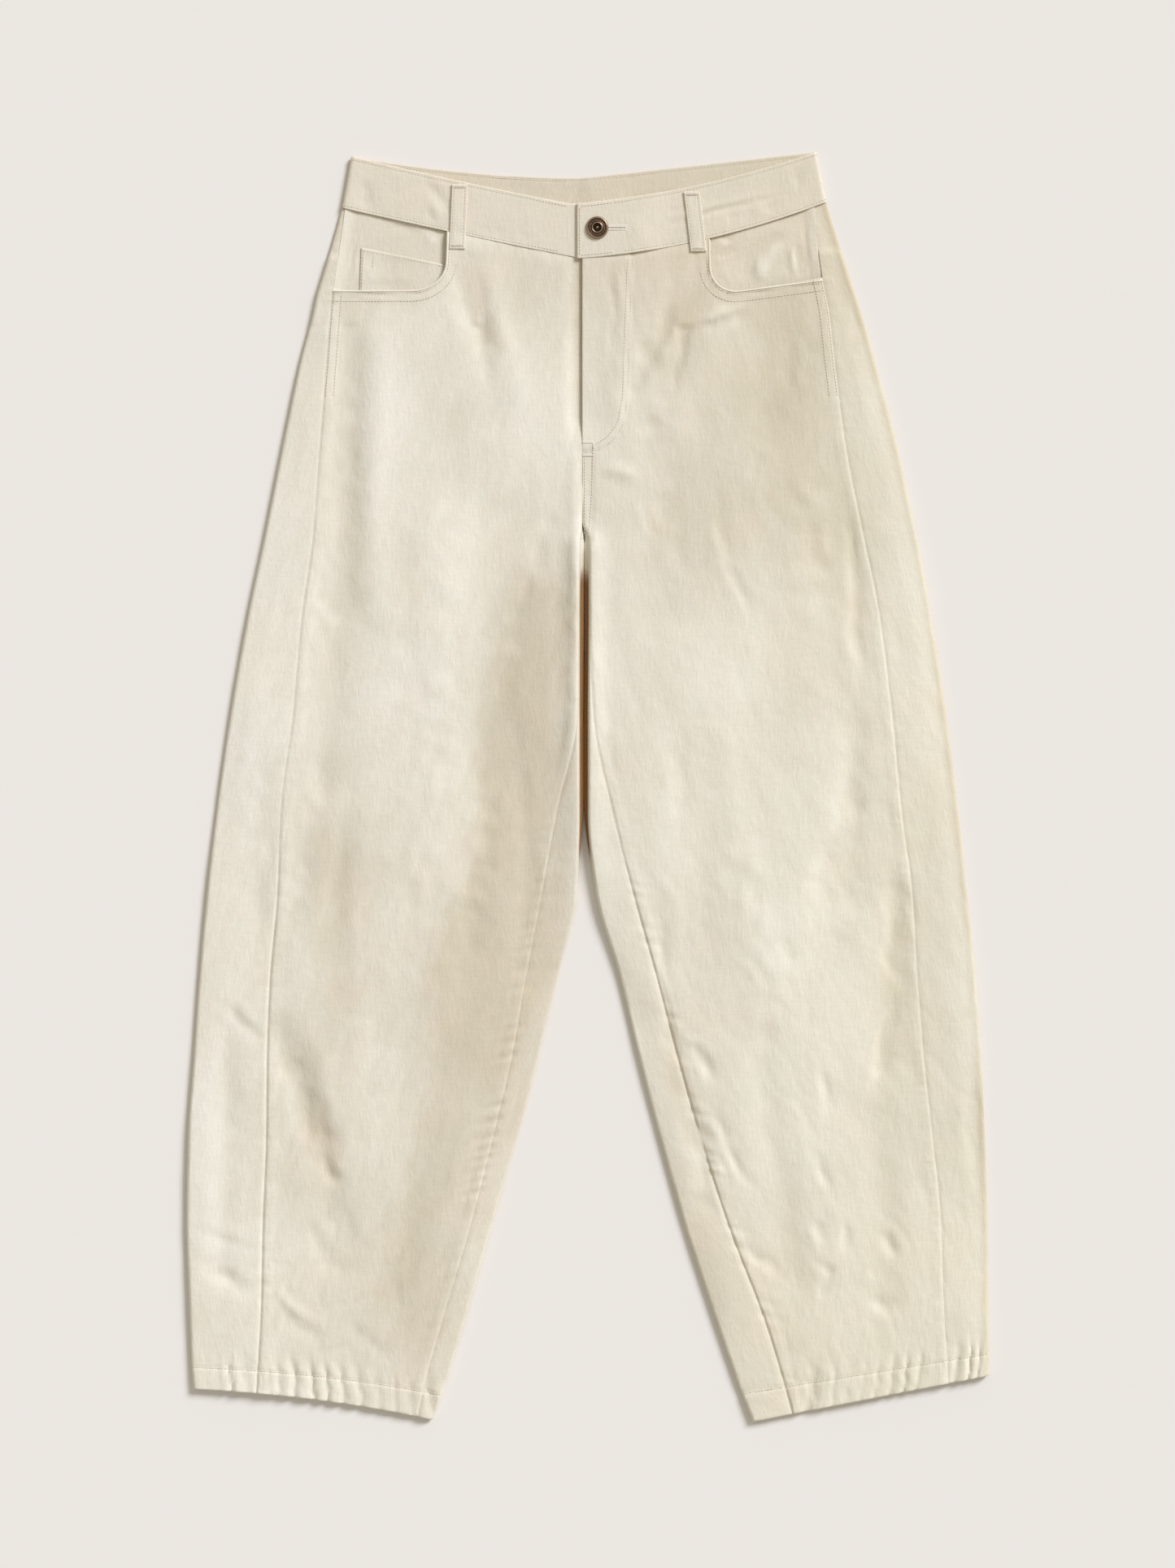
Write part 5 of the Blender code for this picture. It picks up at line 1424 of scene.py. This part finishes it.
for leg, name in ((right_leg, "right"), (left_leg, "left")):
    rows = []
    edge = even_path(leg.edge_path)
    seam_down = leg.line(leg.top, edge[:, 0], False)
    edge = edge[edge[:, 1] > seam_down + 0.5]
    rim = edge[edge[:, 0] < leg.at("side_seam", edge[:, 1]) - 0.2]
    points, outward = leg.on_top(*beside_path(rim, 0.3).T)
    rolled_edge("mouth_edge_" + name, points - [0, 0, 0.62], outward, 0.85)
    for distance, first, last in ((1.9, 0, len(edge)), (8.0, 20, len(edge))):
        row = beside_path(edge, distance)[first:last]
        row = row[row[:, 0] < leg.at("side_seam", row[:, 1]) - 0.8]
        rows.append(stitches(*leg.on_top(row[:, 0], row[:, 1])))
    down = np.arange(leg.mouth.side_down + 1.0, 192.0, 1.0)
    for distance in (1.6, 7.7):
        rows.append(stitches(*leg.on_top(leg.at("side_seam", down) - distance, down)))
    row = np.full(200, leg.hem - HEM_DEPTH + 0.6)
    spans = (
        (leg.at("inseam", row) + 0.8, leg.at("side_seam", row) - 0.8, 0),
        (leg.at("side_seam", row) + 0.8, leg.at("outer", row) - 1.0, 0),
        (leg.at("inner", row) + 1.0, leg.at("inseam", row) - 0.8, 0),
        (leg.at("inner", row) + 3.0, leg.at("outer", row) - 3.0, 1),
    )
    for start, end, under in spans:
        across = start + (end - start) * np.linspace(0, 1, 200)
        points, outward = leg.surface(row[None], across[None], under + 0 * across[None])
        rows.append(stitches(points[0], outward[0]))
    if leg.side > 0:
        for path in FLY_ROWS + CROTCH_ROWS:
            path = even_path(path)
            rows.append(stitches(*leg.on_top(path[:, 0], path[:, 1])))
        tacks = [even_path(path, 0.5) for path in TACKS]
        tacks = [stitches(*leg.on_top(path[:, 0], path[:, 1]), 0.55, 2.4, 0.27, True) for path in tacks]
        sewn("thread_tacks", tacks, tack_thread)
    seat = np.arange(70.0, 290.0, 2.0)
    for distance in (2.0, 7.0):
        points, outward = leg.surface(seat[None], 0 * seat[None] + distance, 1 + 0 * seat[None])
        if leg.side > 0:
            rows.append(stitches(points[0], outward[0]))
    sewn("thread_leg_" + name, rows)

rows = []
for side, reach in ((-1, 172.0), (1, 160.0)):
    inset = np.concatenate([fold_insets, np.arange(6.0, reach, 2.0)])
    for from_edge in (ROW_INSET, BAND_DEPTH - ROW_INSET):
        for behind in (False, True):
            points, outward, _ = band_stretch(side, inset, np.array([[from_edge / BAND_DEPTH]]), behind)
            outward = outward / np.linalg.norm(outward, axis=2, keepdims=True)
            rows.append(stitches(points[0], outward[0]))
            if behind and from_edge > 10.0:
                rows.append(stitches(points[0] - outward[0] * BAND_CLOTH, -outward[0]))
along_tab = np.arange(24.0, ROW_INSET - TAB_OVERHANG, -1.0)
for from_edge in (ROW_INSET, BAND_DEPTH - ROW_INSET):
    points, outward, _ = flat_stretch(along_tab, np.array([[from_edge / BAND_DEPTH]]), TAB_HEIGHT)
    rows.append(stitches(points[0], outward[0]))
up_tab = np.linspace(0.06, 0.94, 40)[:, None]
points, outward, _ = flat_stretch(np.array([ROW_INSET - TAB_OVERHANG]), up_tab, TAB_HEIGHT)
rows.append(stitches(points[:, 0], outward[:, 0]))
sewn("thread_band", rows)

holes = []
for away in (-1.1, 1.1):
    slit = np.linspace(EYE_RADIUS + 4.6, SLIT_LENGTH + 0.6, 30)
    slit = np.stack([slit, 0 * slit + away, 0 * slit + TAB_HEIGHT], axis=1)
    holes.append(stitches(slit + [BUTTON_ACROSS, BUTTON_DOWN, 0.0], level(30), 0.8, 2.1, 0.42, True))
bar = BUTTON_DOWN + np.linspace(-2.4, 2.4, 30)
bar = np.stack([0 * bar + slit_end + 1.0, bar, 0 * bar + TAB_HEIGHT], axis=1)
holes.append(stitches(bar, level(30), 0.6, 2.2, 0.36, True))
sewn("thread_buttonhole", holes, tack_thread)

rows = []
for loop in LOOPS:
    for offset in (-LOOP_ROW, LOOP_ROW):
        part = np.linspace(0.03, 0.97, 60)
        across, down = loop_place(loop, part, offset)
        points = np.stack([loop.side * across, down, loop_height(loop, part, 0 * part + offset)], axis=1)
        rows.append(stitches(points, level(60)))
    for part in (0.05, 0.95):
        offset = np.linspace(-5.0, 5.0, 30)
        across, down = loop_place(loop, part, offset)
        height = loop_height(loop, part + 0 * offset, offset)
        points = np.stack([loop.side * across, down + 0 * offset, height], axis=1)
        rows.append(stitches(points, level(30), 0.6, 1.9, 0.28, True))
sewn("thread_loops", rows)


def coin_row(part, fall):
    """A row of stitches on the coin pocket, along parts of its width and of its fall."""
    across, down = coin_across(part, fall), coin_down(part, fall)
    base = facing_height(right_leg, right_leg.row_of(across, down), across, down, RIGHT_FACING_CREASES)
    points = np.stack([-across, down, base + FACING_CLOTH + 0.3 + 0 * across], axis=1)
    return stitches(points, level(len(points)))


fall = np.linspace(0.03, 0.85, 40)
rows = [
    coin_row(np.linspace(0.02, 0.84, 60), 0 * np.linspace(0, 1, 60) + 0.05),
    coin_row(0 * fall + 0.022, fall),
    coin_row(0 * fall[:14] + 0.125, fall[:14]),
]
sewn("thread_coin_pocket", rows)

# Floor, light and camera: a pale studio table seen straight from above, a broad soft lamp from the
# upper right and white all round. None of it belongs to the trousers.
floor_mesh = bpy.data.meshes.new("floor")
corners = [(-8, -8, -0.0001), (8, -8, -0.0001), (8, 8, -0.0001), (-8, 8, -0.0001)]
floor_mesh.from_pydata(corners, [], [(0, 1, 2, 3)])
floor_mesh.materials.append(Finish("pale_table", Base_Color=(0.815, 0.776, 0.727, 1), Roughness=1.0).material)
floor = bpy.data.objects.new("floor", floor_mesh)
bpy.context.scene.collection.objects.link(floor)

world = bpy.data.worlds.new("studio")
bpy.context.scene.world = world
world.use_nodes = True
world.node_tree.nodes["Background"].inputs["Color"].default_value = (1.0, 0.96, 0.86, 1.0)
world.node_tree.nodes["Background"].inputs["Strength"].default_value = 0.49

lamp_data = bpy.data.lights.new("window", "SUN")
lamp_data.energy = 3.05
lamp_data.angle = np.radians(22)
lamp_data.color = (0.97, 1.01, 1.12)
lamp = bpy.data.objects.new("window", lamp_data)
lamp.rotation_euler = (np.radians(56), 0.0, np.radians(135))
bpy.context.scene.collection.objects.link(lamp)

camera_data = bpy.data.cameras.new("camera")
camera_data.sensor_width = 36.0
camera_data.lens = 93.4
camera = bpy.data.objects.new("camera", camera_data)
camera.location = (-0.0003, 0.0022, 3.2)
bpy.context.scene.collection.objects.link(camera)
bpy.context.scene.camera = camera
bpy.context.scene.view_settings.view_transform = "Standard"
